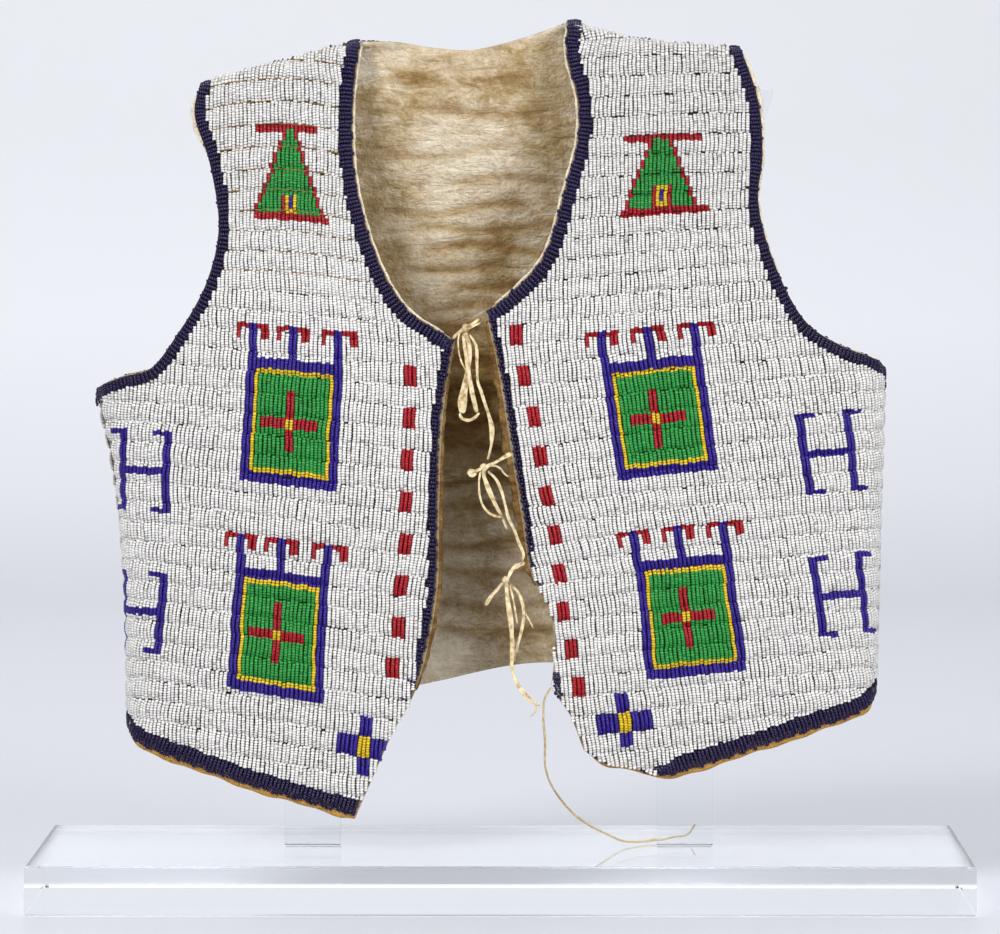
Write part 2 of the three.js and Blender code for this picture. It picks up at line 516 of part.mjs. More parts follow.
function backPanel() {
  const sewn = (rows, kind, name) => edgeStations(rows, 1, kind, EDGING_ALONG.back[name]);
  const loop = closedLoop([
    ridgeStations("left"), sewn(BACK_NECK, "neck", "neck"), ridgeStations("right").reverse(),
    sewn([...RIGHT_EDGES.armhole].reverse(), "armholeRight", "rightArmhole"),
    sideStations("right", UNDERARM_Z.right, SIDE_HEM_Z.right), sewn([...BACK_HEM].reverse(), "hem", "hem"),
    sideStations("left", SIDE_HEM_Z.left, UNDERARM_Z.left),
    sewn(LEFT_EDGES.armhole, "armholeLeft", "leftArmhole"),
  ]);
  loop.forEach(onSeam);
  const inner = insetLoop(loop, 1, -1, EDGING.gap);
  inner.forEach((s) => { s.lane = -s.z; });
  const joins = (...kinds) => (s) => kinds.every((kind) => s.kind.includes(kind));
  const corner = {
    neckLeft: inner.findIndex(joins("ridge", "neck")),
    neckRight: inner.findLastIndex(joins("ridge", "neck")),
    tipRight: inner.findIndex(joins("ridge", "armholeRight")),
    hemRight: inner.findIndex(joins("side", "hem")),
    hemLeft: inner.findLastIndex(joins("side", "hem")),
  };
  const top = [
    ...alongRun(inner.slice(0, corner.neckLeft + 1), COLUMNS.backShoulder, 1),
    ...alongRun(inner.slice(corner.neckLeft, corner.neckRight + 1), COLUMNS.backNeck, 1).slice(1),
    ...alongRun(inner.slice(corner.neckRight, corner.tipRight + 1), COLUMNS.backShoulder, 1).slice(1),
  ];
  const columns = top.length - 1;
  const rightChain = inner.slice(corner.tipRight, corner.hemRight + 1);
  const leftChain = [...inner.slice(corner.hemLeft), inner[0]].reverse();
  const hem = inner.slice(corner.hemRight, corner.hemLeft + 1).reverse();
  const bottomZ = BACK_LANES.topZ - BACK_LANES.level * BACK_LANES.pitch;
  const levelRow = (z) => evenRow(crossing(leftChain, -z), crossing(rightChain, -z), columns, 1, () => z);
  const shoulderRow = levelRow(BACK_LANES.topZ);
  const waistRow = levelRow(bottomZ);
  const hemRow = evenRow(hem[0], hem[hem.length - 1], columns, 1, (x) => heightOn(hem, x));
  const lastLevel = BACK_LANES.shoulder + BACK_LANES.level + BACK_LANES.hem;
  const levels = [0, lastLevel];
  [...flatStations(leftChain), ...flatStations(rightChain)].forEach((s) =>
    addLevel(levels, BACK_LANES.shoulder + (BACK_LANES.topZ - s.z) / BACK_LANES.pitch, ROW_CLEAR.back));
  FOLD_LEVELS.forEach((level) => addLevel(levels, level, 0));
  for (let level = 0.5; level < lastLevel; level += 0.5) addLevel(levels, level, ROW_CLEAR.back);
  levels.sort((a, b) => a - b);
  const mixRows = (a, b, t) => a.map((p, i) => ({ x: mix(p.x, b[i].x, t), z: mix(p.z, b[i].z, t) }));
  const rows = levels.map((level) => {
    const lane = level - BACK_LANES.shoulder;
    let spots;
    if (lane < 0) {
      spots = mixRows(top, shoulderRow, level / BACK_LANES.shoulder);
      spots[0] = crossing(leftChain, -spots[0].z);
      spots[columns] = crossing(rightChain, -spots[columns].z);
    } else if (lane <= BACK_LANES.level) spots = levelRow(BACK_LANES.topZ - lane * BACK_LANES.pitch);
    else {
      spots = mixRows(waistRow, hemRow, (lane - BACK_LANES.level) / BACK_LANES.hem);
      [spots[0], spots[columns]] = [spots[0], spots[columns]].map((s) => onSeam({ ...s, kind: "side" }));
    }
    const crest = Number.isInteger(level - 0.5);
    return {
      outer: spots.map((s) => moved(s.x, s.z, 1, laneRise(level))),
      inner: !crest && spots.map((s) => moved(s.x, s.z, 1, -WALL)),
    };
  });
  addMesh("back", lanedWall(rows), material.beads);
  addEdgings(loop, insetLoop(loop, 1, -1, 0), 1, "back",
    { neck: ["neck"], hem: ["hem"], armhole_left: ["armholeLeft"], armhole_right: ["armholeRight"] });
}

// Height of a run of stations over x
function heightOn(stations, x) {
  const next = clamp(stations.findIndex((s) => s.x >= x), 1, stations.length - 1);
  const [a, b] = [stations[next - 1], stations[next]];
  return mix(a.z, b.z, clamp((x - a.x) / (b.x - a.x), 0, 1));
}

// ---- Ties and the loose thong ----
// A strand that hangs: level ovals through its rows
function hangingStrand(rows, halfDepth) {
  const skin = new Skin();
  const rings = rows.map(([x, y, z, halfWidth]) => skin.row(Array.from({ length: STRAND.sides }, (_, i) => {
    const angle = (2 * Math.PI * i) / STRAND.sides;
    return new THREE.Vector3(x + halfWidth * Math.cos(angle), y + halfDepth * Math.sin(angle), z);
  })));
  for (let i = 0; i + 1 < rings.length; i++)
    skin.strip([...rings[i], rings[i][0]], [...rings[i + 1], rings[i + 1][0]], false);
  skin.cap(rings[0], true);
  skin.cap(rings[rings.length - 1], false);
  return skin.geometry();
}

function addTies() {
  TIES.forEach(({ knot, bow, tail }, i) => {
    const name = "tie_" + (i + 1);
    const sphere = new THREE.SphereGeometry(1, KNOT.segments, KNOT.rings);
    const ball = addMesh(name + "_knot", sphere, material.hide);
    ball.scale.set(KNOT.x, KNOT.y, KNOT.z);
    ball.position.set(...knot);
    addMesh(name + "_bow", hangingStrand(bow, STRAND.bowHalfDepth), material.hide);
    addMesh(name + "_tail", hangingStrand(tail, STRAND.tailHalfDepth), material.hide);
  });
}

function addLooseThong() {
  const { diameter, sides, step, route } = LOOSE_THONG;
  const path = new THREE.CatmullRomCurve3(route.map((p) => new THREE.Vector3(...p)));
  const section = new THREE.Shape(Array.from({ length: sides }, (_, i) => {
    const angle = (2 * Math.PI * i) / sides;
    return new THREE.Vector2(Math.cos(angle) * diameter / 2, Math.sin(angle) * diameter / 2);
  }));
  addMesh("loose_thong", new THREE.ExtrudeGeometry(section,
    { steps: Math.round(path.getLength() / step), bevelEnabled: false, extrudePath: path }), material.hide);
}

// ---- Stand ----
function slab(width, depth, height, bevel) {
  const shape = new THREE.Shape([
    new THREE.Vector2(-width / 2 + bevel, -depth / 2 + bevel),
    new THREE.Vector2(width / 2 - bevel, -depth / 2 + bevel),
    new THREE.Vector2(width / 2 - bevel, depth / 2 - bevel),
    new THREE.Vector2(-width / 2 + bevel, depth / 2 - bevel),
  ]);
  const geometry = new THREE.ExtrudeGeometry(shape,
    { depth: height - 2 * bevel, bevelEnabled: true, bevelSize: bevel, bevelThickness: bevel, bevelSegments: 1 });
  geometry.translate(0, 0, bevel);
  return geometry;
}

function addStand() {
  addMesh("stand_base", slab(BASE.width, BASE.depth, BASE.height, BASE.bevel), material.acrylic);
  for (const { name, uprightX, neckX, neckZ, armX, armZ } of SUPPORTS) {
    const slope = (armZ - neckZ) / (armX - neckX);
    const tilt = Math.atan(slope);
    const length = Math.abs(armX - neckX) / Math.cos(tilt);
    const bar = addMesh("stand_bar_" + name,
      slab(length, BAR.thickness, BAR.height, BAR.bevel), material.acrylic);
    bar.rotation.y = -tilt;
    bar.position.set((neckX + armX) / 2 + BAR.height * Math.sin(tilt), 0,
      (neckZ + armZ) / 2 - BAR.height * Math.cos(tilt));
    const underside = (x) => neckZ + slope * (x - neckX) - BAR.height / Math.cos(tilt);
    const half = UPRIGHT.width / 2;
    const top = Math.min(underside(uprightX - half), underside(uprightX + half)) - GAP;
    const bottom = BASE.height + GAP;
    const upright = addMesh("stand_upright_" + name,
      slab(UPRIGHT.width, UPRIGHT.thickness, top - bottom, UPRIGHT.bevel), material.acrylic);
    upright.position.set(uprightX, UPRIGHT.centreY, bottom);
  }
}

addStand();
frontPanel("left");
frontPanel("right");
backPanel();
addTies();
addLooseThong();

export default group;
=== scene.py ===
# %% [markdown]
# # A beaded hide vest on a clear stand
# The vest is four things: soft hide cut into two fronts and a back, about eighty thousand glass beads
# sewn on in lanes, dark beaded edgings, and rawhide ties. It hangs from two bars of a clear acrylic stand.
# The solids of the frame give its sizes. Everything here is a surface worked out with numpy and laid on
# the same form, so each bead sits where the frame says that the cloth is.

import bpy
import numpy as np
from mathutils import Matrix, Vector


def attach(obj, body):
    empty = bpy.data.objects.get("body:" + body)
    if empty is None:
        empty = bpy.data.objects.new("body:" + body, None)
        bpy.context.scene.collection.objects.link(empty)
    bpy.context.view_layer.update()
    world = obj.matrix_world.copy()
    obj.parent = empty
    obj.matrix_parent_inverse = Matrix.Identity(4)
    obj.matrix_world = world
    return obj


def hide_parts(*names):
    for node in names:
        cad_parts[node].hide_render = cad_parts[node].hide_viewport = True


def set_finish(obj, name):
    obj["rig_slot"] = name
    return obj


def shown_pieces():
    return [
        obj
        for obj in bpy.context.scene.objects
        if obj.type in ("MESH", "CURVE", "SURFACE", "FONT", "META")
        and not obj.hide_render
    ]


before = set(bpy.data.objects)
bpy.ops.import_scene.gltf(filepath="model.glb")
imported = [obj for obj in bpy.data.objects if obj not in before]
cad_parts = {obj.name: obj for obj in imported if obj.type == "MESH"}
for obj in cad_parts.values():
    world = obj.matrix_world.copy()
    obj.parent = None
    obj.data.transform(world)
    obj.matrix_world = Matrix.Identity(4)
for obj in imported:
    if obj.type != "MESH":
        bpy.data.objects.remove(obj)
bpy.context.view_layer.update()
MM = 0.001
rng = np.random.default_rng(7)

# %% [markdown]
# ## The camera
# A long lens stands just under the shoulders' height, two and a half metres in front. It looks a little
# down, so that the base shows its top. Aiming a straight lens at the middle of the picture needs no lens
# shift.

# %% Place the camera
IMAGE = {"width": 1000, "height": 934}
LENS = {"focal_px": 5718, "sensor_mm": 36}
EYE = Vector((15, -2462, 319)) * MM
LEVEL_PX = (536, 155.6)  # the picture's point that is straight ahead of the eye, at its height


def add_camera():
    """The aim is the direction from the eye to the middle of the picture: its pixels away from the level
    point, over the focal length in pixels."""
    data = bpy.data.cameras.new("camera")
    data.sensor_width = LENS["sensor_mm"]
    data.lens = LENS["sensor_mm"] * LENS["focal_px"] / IMAGE["width"]
    data.clip_end = 50
    camera = bpy.data.objects.new("camera", data)
    bpy.context.scene.collection.objects.link(camera)
    aim = Vector(((IMAGE["width"] / 2 - LEVEL_PX[0]) / LENS["focal_px"], 1,
                  (LEVEL_PX[1] - IMAGE["height"] / 2) / LENS["focal_px"]))
    camera.location = EYE
    camera.rotation_euler = aim.to_track_quat("-Z", "Y").to_euler()
    bpy.context.scene.camera = camera
    return camera


print("camera lens", round(add_camera().data.lens, 1), "mm")

# %% [markdown]
# ## Helpers for meshes and colours
# A mesh is made from whole arrays: points, and faces of four corners. A colour may be given for each face,
# which is what a bead needs, and a plain number for each point, which paints shade on what lies deep.


# %% Make meshes from arrays
def srgb(*values):
    """Display colours to linear light: the usual power curve with a short straight start."""
    v = np.array(values, float)
    return np.where(v < 0.04045, v / 12.92, ((v + 0.055) / 1.055) ** 2.4)


def unit(vectors):
    return vectors / np.maximum(np.linalg.norm(vectors, axis=-1, keepdims=True), 1e-12)


def mesh_piece(name, points, quads, slot, replaces=(), face_colour=None, point_values=None):
    """A new object from points in millimetres and faces of four corners, riding on the root body."""
    mesh = bpy.data.meshes.new(name)
    mesh.vertices.add(len(points))
    mesh.vertices.foreach_set("co", (points * MM).astype(np.float32).ravel())
    mesh.loops.add(quads.size)
    mesh.loops.foreach_set("vertex_index", quads.astype(np.int32).ravel())
    mesh.polygons.add(len(quads))
    mesh.polygons.foreach_set("loop_start", np.arange(0, quads.size, 4, dtype=np.int32))
    mesh.update(calc_edges=True)
    mesh.validate()
    mesh.shade_smooth()
    if face_colour is not None:
        layer = mesh.attributes.new("bead_colour", "FLOAT_COLOR", "FACE")
        rgba = np.concatenate([face_colour, np.ones((len(face_colour), 1))], axis=1)
        layer.data.foreach_set("color", rgba.astype(np.float32).ravel())
    for key, values in (point_values or {}).items():
        layer = mesh.attributes.new(key, "FLOAT", "POINT")
        layer.data.foreach_set("value", values.astype(np.float32).ravel())
    piece = bpy.data.objects.new(name, mesh)
    bpy.context.scene.collection.objects.link(piece)
    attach(piece, "root")
    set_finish(piece, slot)
    if replaces:
        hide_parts(*replaces)
    return piece


def grid_quads(rows, columns, closed=False):
    """Faces between neighbouring points of a grid that is numbered row by row. closed joins the last
    column to the first."""
    i, j = np.meshgrid(np.arange(rows - 1), np.arange(columns if closed else columns - 1), indexing="ij")
    right = (j + 1) % columns
    return np.stack([i * columns + j, (i + 1) * columns + j, (i + 1) * columns + right,
                     i * columns + right], axis=-1).reshape(-1, 4)


def smooth_line(rows, count):
    """A curve through the rows, the centripetal Catmull-Rom one: on each stretch a cubic whose end slopes
    are the chords' slopes weighted by the square roots of the chords. Returned at equal steps of length."""
    p = np.array(rows, float)
    p = np.vstack([2 * p[0] - p[1], p, 2 * p[-1] - p[-2]])
    gap = np.maximum(np.linalg.norm(np.diff(p, axis=0), axis=1) ** 0.5, 1e-6)[:, None]
    before, after = (p[1:-1] - p[:-2]) / gap[:-1], (p[2:] - p[1:-1]) / gap[1:]
    slope = before - (p[2:] - p[:-2]) / (gap[:-1] + gap[1:]) + after
    a, b = p[1:-2], p[2:-1]
    start, end = slope[:-1] * gap[1:-1], slope[1:] * gap[1:-1]
    t = np.linspace(0, 1, 25)[:-1][None, :, None]
    a, b, start, end = (v[:, None, :] for v in (a, b, start, end))
    fine = a + start * t + (3 * (b - a) - 2 * start - end) * t**2 + (2 * (a - b) + start + end) * t**3
    fine = np.vstack([fine.reshape(-1, p.shape[1]), p[-2]])
    return even_steps(fine, count)


def run_along(line):
    """The distance from a line's start to each of its points."""
    return np.concatenate([[0], np.cumsum(np.linalg.norm(np.diff(line, axis=0), axis=1))])


def line_length(line):
    return run_along(line)[-1]


def even_steps(line, count):
    run = run_along(line)
    want = np.linspace(0, run[-1], count)
    return np.stack([np.interp(want, run, line[:, k]) for k in range(line.shape[1])], axis=1)


print("helpers ready")

# %% [markdown]
# ## Rawhide ties and the loose thong
# The fronts are tied together by three flat strips of rawhide, and a thin thong hangs from the right
# corner and curls over the base. Real rawhide dries stiff: it twists, its edges roll, and it keeps its
# folds. A ribbon carried along a path does that well: an oval section, wide and thin, that is turned and
# narrowed as it goes. These come first, because a cord has to have its real length.

# %% Routes of the strips, in millimetres
# The thong's own route, repeated from the frame's solids
THONG_ROUTE = [(21.4, -36, 93), (18.7, -38, 88), (18.2, -37.5, 80), (18.9, -35.8, 70), (18.9, -33.6, 60),
               (20.2, -31.2, 54), (22.6, -28, 48.5), (26.4, -23, 42.6), (31.4, -18, 36.6),
               (37.6, -12, 31.4), (45.6, -6, 26.6), (52.3, -1.6, 23.2), (57.8, 2, 22.2), (63, 6, 22.1),
               (67.2, 10, 22.3), (71.5, 15.5, 22.2), (76.4, 20.5, 22.8), (80, 22.6, 22.8),
               (82.6, 23.4, 24.6), (84.6, 23.8, 28)]
# Each free strand: the solid that it stands for, and rows of x, y, z and width
STRANDS = {
    "tie_1_strap": ("tie_1_bow", [
        (-15.2, -36.2, 244.3, 1.8), (-13.4, -36.8, 239, 2.2), (-13.6, -37.2, 232.6, 2.4),
        (-14.4, -37, 225.1, 2.6), (-15.5, -36.6, 218.7, 3.6), (-16.1, -36.4, 213.4, 4.0),
        (-16.3, -36.4, 209.7, 2.6)]),
    "tie_1_end": ("tie_1_tail", [
        (-13.1, -38, 243.2, 1), (-10.4, -38.4, 238.5, 1.3), (-10.1, -38.6, 231.5, 1.3),
        (-9.7, -38.6, 223, 1.3), (-8.4, -38.4, 219.4, 1.3), (-6.6, -38.2, 213.9, 1.4),
        (-4.6, -37.8, 207.9, 1.7), (-3.7, -37.4, 204.1, 2.2), (-3.7, -37.2, 199.8, 2),
        (-4, -37, 196.4, 1.2), (-4.9, -36.8, 192.6, 1.1), (-5.6, -36.6, 190, 1)]),
    "tie_2_strap": ("tie_2_bow", [
        (4.6, -34.2, 192.3, 1.7), (2.7, -34.8, 191.6, 2.1), (0.6, -35.6, 190.4, 1.5),
        (-2.9, -37, 188.5, 1.2), (-5.8, -38.2, 187.2, 1.5), (-7.3, -37.8, 184.6, 1.8),
        (-6.1, -36.8, 179.8, 2), (-3.7, -37, 174.3, 2.1), (-1.4, -36.6, 169.6, 1.8),
        (0.6, -36.4, 165.9, 1.3), (1.6, -36.4, 163.2, 1.2), (2.8, -36.6, 160.4, 1.1)]),
    "tie_2_end": ("tie_2_tail", [
        (-5.4, -38, 185.3, 1.1), (-2, -38.4, 181.9, 1.3), (0.3, -38.6, 176.8, 1.3),
        (2, -38.6, 170.4, 1.3), (3.3, -38.4, 165.3, 1.3), (5.9, -38, 160.2, 1.4),
        (7.8, -37.4, 154.7, 1.4), (9.3, -37, 151.3, 1.4), (9.8, -36.8, 149.2, 1.3), (8.9, -36.8, 147, 1)]),
    "tie_3_loop": ("tie_3_bow", [
        (4, -36.2, 137, 1.3), (6.9, -36.8, 134.3, 1.4), (9.1, -37.2, 129.6, 1.4),
        (9.7, -37.2, 123.6, 1.4), (8.6, -36.8, 116, 1.4), (6.8, -36.4, 109.2, 1.3), (5.6, -36.2, 104, 1.1)]),
    "tie_3_end": ("tie_3_tail", [
        (2.2, -38, 137.7, 1.7), (2.9, -38.4, 130.4, 2), (4.4, -38.6, 121.1, 2.3), (5.1, -38.4, 110.9, 2),
        (4.8, -38.2, 101.5, 1.6), (6.7, -38, 95.1, 1.4), (10.3, -37.9, 89.3, 1.3),
        (13.7, -37.8, 86.6, 1.1), (16.9, -37.6, 85.3, 1)]),
}
KNOTS = {1: (-14.8, -36.4, 246), 2: (-7.2, -36.4, 186.8), 3: (2.2, -36.4, 138.8)}
# Short bits round each knot: crossing bands, stubs and thin curled strands
BITS = {
    1: [
        [(-9.2, -33.8, 249.6, 1.4), (-11.8, -35.4, 247.7, 1.3), (-14.8, -37.8, 246.2, 1.9),
         (-16.9, -37, 244.7, 1.4), (-19, -35.2, 242.8, 1.3), (-20.3, -33.8, 241.3, 1.3)],
        [(-8.6, -33.8, 248.1, 0.8), (-11.8, -36, 246.6, 0.9), (-13.9, -38, 245.6, 0.9)],
        [(-17.1, -36.8, 244.9, 0.8), (-18, -37.2, 240.7, 0.7), (-17.6, -37.6, 235.1, 0.7),
         (-16.3, -38, 230.9, 0.7), (-14.1, -38, 227, 0.7), (-12.9, -37.8, 223.6, 0.5)],
        [(-16, -37.6, 243.2, 1.1), (-14.8, -38, 235.1, 1.5), (-13.4, -38, 226.2, 1.8),
         (-12.2, -37.8, 219, 2.0), (-10.8, -37.4, 213.4, 2.1), (-10, -37, 210, 1.5)],
        [(-17.5, -37, 210, 1), (-16.5, -37.2, 207.6, 1.3), (-13.7, -37.4, 206.8, 1.4),
         (-10.9, -37.4, 208.1, 1.3), (-9, -37.2, 209.9, 1.1)],
    ],
    2: [
        [(-8.4, -37.2, 185.3, 0.9), (-9.2, -37.6, 181.1, 0.9), (-8.8, -37.8, 174.7, 1),
         (-6.9, -37.8, 169.6, 1.1), (-3.3, -37.6, 166.4, 1.2), (0.3, -37.2, 165.5, 1)],
        [(-10.7, -36.8, 184.9, 1.3), (-8.8, -37.6, 186, 1.4), (-5.8, -37.8, 187, 1.2)],
        [(-5, -37.6, 187.5, 1.1), (-2.6, -37.6, 187.5, 0.9), (-0.1, -36.8, 186.2, 0.9),
         (1.8, -35.8, 183.9, 0.9), (3.3, -35.2, 182.6, 0.7)],
        [(-10.8, -36.6, 185.1, 1.4), (-12.4, -36.8, 185.4, 2), (-13.2, -36.6, 184.3, 2),
         (-11.8, -36.4, 183.4, 2), (-10.3, -36.4, 184.2, 1)],
    ],
    3: [
        [(10.3, -34.6, 146, 1.3), (7.8, -35.6, 145.2, 2), (5.4, -36.6, 143.6, 1.9),
         (3.5, -37.6, 140.6, 1.4), (2.3, -38, 138.1, 1.5)],
        [(1.1, -36.8, 137.7, 1.3), (-1.2, -36.4, 135.1, 1.4), (-3.7, -36.2, 132, 1.5),
         (-5.6, -36, 129.6, 2), (-6.3, -36, 127.9, 1.4)],
        [(3.8, -37.4, 136.8, 0.9), (5.2, -37.8, 131.3, 0.9), (6.3, -37.8, 125.3, 0.9),
         (7.1, -37.4, 120.2, 0.7)],
        [(5.5, -37.8, 98.9, 0.7), (8.6, -37.6, 93, 0.8), (12.3, -37.4, 88.7, 0.8),
         (15.2, -37.2, 85.2, 0.9), (14.9, -37, 82.8, 0.8), (12.6, -36.8, 80.4, 0.5)],
        [(9.3, -36.6, 126.6, 0.7), (11.2, -36, 123.2, 0.8), (13.3, -35.2, 119.4, 0.8),
         (14, -34.8, 117.8, 0.6)],
    ],
}
RAWHIDE_THICK = 0.45
KNOT_SIZE = (1.5, 1.4, 1.7)
THONG = {"width": 1.0, "thick": 0.8, "thin_from": 15}  # it narrows to half its width from that point on
print(len(STRANDS), "free strands and", sum(map(len, BITS.values())), "short bits")


# %% Carry a ribbon's section along its route
def ribbon(rows, thick, sides=12, roll=0.3, turn=0.45):
    """A closed strip along rows of x, y, z and width. Ring i is an oval: width times cosine along the side
    direction, plus thickness times sine along the facing direction, and its edges roll forward by roll
    times the square of the cosine. The facing direction is the viewer's, turned by a slow sine wave. The
    first and last rings are smaller, and a cap of strips closes each."""
    length = line_length(np.array(rows)[:, :3])
    line = smooth_line(rows, max(12, int(length / 0.8)))
    centre, width = line[:, :3], line[:, 3].copy()
    t = np.linspace(0, 1, len(line))
    tangent = unit(np.gradient(centre, axis=0))
    facing = np.array([0.0, -1.0, 0.0]) - tangent * -tangent[:, 1:2]
    side = unit(np.cross(tangent, facing))
    angle = turn * np.sin(9 * t + length)
    facing = unit(np.cross(side, tangent))
    side, facing = (side * np.cos(angle)[:, None] + facing * np.sin(angle)[:, None],
                    facing * np.cos(angle)[:, None] - side * np.sin(angle)[:, None])
    scale = np.clip(np.minimum(np.arange(len(t)), np.arange(len(t))[::-1]), 0.5, 1)
    width *= scale * (1 + 0.08 * np.sin(23 * t + 2 * length))
    around = 2 * np.pi * np.arange(sides) / sides
    across = width[:, None] / 2 * np.cos(around)
    up = (thick * scale)[:, None] / 2 * np.sin(around) + roll * width[:, None] / 2 * np.cos(around) ** 2
    points = centre[:, None] + side[:, None] * across[..., None] + facing[:, None] * up[..., None]
    k = np.arange(sides // 2 - 1)
    cap = np.stack([k, k + 1, sides - 2 - k, sides - 1 - k], axis=1)
    last_cap = cap[:, ::-1] + (len(line) - 1) * sides
    quads = np.vstack([grid_quads(len(line), sides, closed=True), cap, last_cap])
    return points.reshape(-1, 3), quads, centre


def knot_surface(centre, size, seed):
    """A wrapped knot: an ellipsoid whose radius swells in three slanting bands. It is multiplied by one
    plus 0.13 times the cosine of three times the longitude plus four times the latitude plus seed, which
    fades to the poles by the cosine of the latitude."""
    rows, columns = 17, 24
    lat, lon = np.meshgrid(np.linspace(-np.pi / 2, np.pi / 2, rows),
                           2 * np.pi * np.arange(columns) / columns, indexing="ij")
    swell = 1 + 0.13 * np.cos(3 * lon + 4 * lat + seed) * np.cos(lat)
    shape = np.stack([np.cos(lat) * np.cos(lon), np.cos(lat) * np.sin(lon), np.sin(lat)], axis=-1)
    points = np.array(centre) + shape * swell[..., None] * np.array(size)
    return points.reshape(-1, 3), grid_quads(rows, columns, closed=True)


def joined(parts):
    """Several point and face arrays as one pair."""
    offsets = np.cumsum([0] + [len(p) for p, _ in parts[:-1]])
    return np.vstack([p for p, _ in parts]), np.vstack([q + o for (_, q), o in zip(parts, offsets)])


def add_ties():
    """A knot with its short bits is one piece, and each free strand is another."""
    for number, centre in KNOTS.items():
        parts = [knot_surface(centre, KNOT_SIZE, number)]
        parts += [ribbon(rows, RAWHIDE_THICK)[:2] for rows in BITS[number]]
        mesh_piece(f"tie_{number}_knot_and_bits", *joined(parts), "thong", [f"tie_{number}_knot"])
    for name, (solid, rows) in STRANDS.items():
        points, quads, line = ribbon(rows, RAWHIDE_THICK)
        strand = mesh_piece(name, points, quads, "thong", [solid])
        length, width = line_length(line) * MM, float(np.mean([row[3] for row in rows])) * MM
        print(name, "is", round(length * 1000, 1), "mm long")


def add_thong():
    narrowing = len(THONG_ROUTE) - 1 - THONG["thin_from"]
    rows = [(*spot, THONG["width"] - 0.5 * max(0, i - THONG["thin_from"]) / narrowing)
            for i, spot in enumerate(THONG_ROUTE)]
    points, quads, line = ribbon(rows, THONG["thick"], sides=8, roll=0, turn=0.8)
    thong = mesh_piece("loose_thong_strip", points, quads, "thong", ["loose_thong"],
                       point_values={"dark": np.full(len(points), 0.4)})
    length = line_length(line) * MM
    print("loose thong is", round(length * 1000, 1), "mm long")


add_ties()
add_thong()

# %% [markdown]
# ## The vest's form
# Seen from the front, each point of the cloth has an x and a z, and the form gives its depth y. Two short
# rules make it: across the body it is a superellipse, and down from the shoulder ridge it first rounds the
# fold and then swells to the chest. The same two rules made the solids, so the pieces lie on them. Only
# the left side bulges a little more here, under the armhole.

# %% The rules of the form, in millimetres
WALL = 3.0
SEAM_Y = 0.2
SECTION_POWER = 2.5
FOLD_RADIUS = 9.0
SWELL = {-1: 23.0, 1: 17.0}
SWELL_DROP = 110.0
HALF_WIDTH = 165  # of the body, roughly, where the slope can't be measured beyond a seam
SHOULDER = {"left": {"tip": (-129.5, 350.6), "neck": (-60.2, 369.5)},
            "right": {"tip": (102.5, 366.4), "neck": (28.4, 377.6), "power": 2.2}}


def ridge_height(x):
    """Height of the shoulder ridge over x: straight lines on the left and behind the neck, and on the
    right a power curve that rises to the neck."""
    (tip_x, tip_z), (neck_x, neck_z) = SHOULDER["left"].values()
    (tip2_x, tip2_z), (neck2_x, neck2_z), power = SHOULDER["right"].values()
    left = neck_z + (neck_z - tip_z) * (x - neck_x) / (neck_x - tip_x)
    middle = neck_z + (neck2_z - neck_z) * (x - neck_x) / (neck2_x - neck_x)
    right = tip2_z + (neck2_z - tip2_z) * np.clip((tip2_x - x) / (tip2_x - neck2_x), 0, 1) ** power
    return np.where(x <= neck_x, left, np.where(x <= neck2_x, middle, right))


def side_x(z):
    """The side seams' places over height. Both flare up to the armholes by a power of the height, and the
    left one bulges by a bell just under the armhole."""
    up = np.clip((z - 60) / 170, 0, 1)
    return -(162 + 13.5 * up**3 + 2.4 * np.exp(-(((z - 220) / 32) ** 2))), 162 + 4 * up**1.5


def across_body(x, z):
    left, right = side_x(z)
    return np.clip((2 * x - left - right) / (right - left), -1, 1)


def fold_depth(drop, face):
    """Depth below the ridge: a quarter circle for the fold, then a smooth step for the swell."""
    rounded = np.clip(drop, 0, FOLD_RADIUS)
    s = np.clip(drop / SWELL_DROP, 0, 1)
    return np.sqrt(rounded * (2 * FOLD_RADIUS - rounded)) + SWELL[face] * s * s * (3 - 2 * s)


def section_depth(u):
    return (1 - np.abs(u) ** SECTION_POWER) ** (1 / SECTION_POWER)


def surface(x, z, face, lift=0.0):
    """Points of the cloth for arrays x and z, moved out along the normal by lift. The depth is section
    times fold; the normal is the gradient of depth minus that product. face is -1 in front, 1 behind."""
    x, z = np.broadcast_arrays(np.asarray(x, float), np.asarray(z, float))
    h = 0.05
    u = np.clip(across_body(x, z), -0.99999, 0.99999)
    drop = np.maximum(ridge_height(x) - z, 0.001)
    section, fold = section_depth(u), fold_depth(drop, face)
    depth = np.maximum(section_depth(across_body(x, z)) * fold_depth(ridge_height(x) - z, face), SEAM_Y)
    section_slope = -np.sign(u) * np.abs(u) ** (SECTION_POWER - 1) * section ** (1 - SECTION_POWER)
    below, above = fold_depth(drop + h, face), fold_depth(np.maximum(drop - h, 0), face)
    fold_slope = (below - above) / (h + np.minimum(h, drop))
    u_slope = (across_body(x + h, z) - across_body(x - h, z)) / (2 * h)
    u_slope = np.where(u_slope == 0, 1 / HALF_WIDTH, u_slope)
    ridge_slope = (ridge_height(x + h) - ridge_height(x - h)) / (2 * h)
    on_seam = (np.abs(across_body(x, z)) > 0.999999) | (ridge_height(x) - z < 1e-4)
    normal = unit(np.stack([-(section_slope * u_slope * fold + section * fold_slope * ridge_slope),
                            np.where(on_seam, 0.0, face), section * fold_slope], axis=-1))
    return np.stack([x, face * depth, z], axis=-1) + normal * np.asarray(lift)[..., None], normal


print("chest depth in front", round(float(-surface(0, 200, -1)[0][1]), 1), "mm")

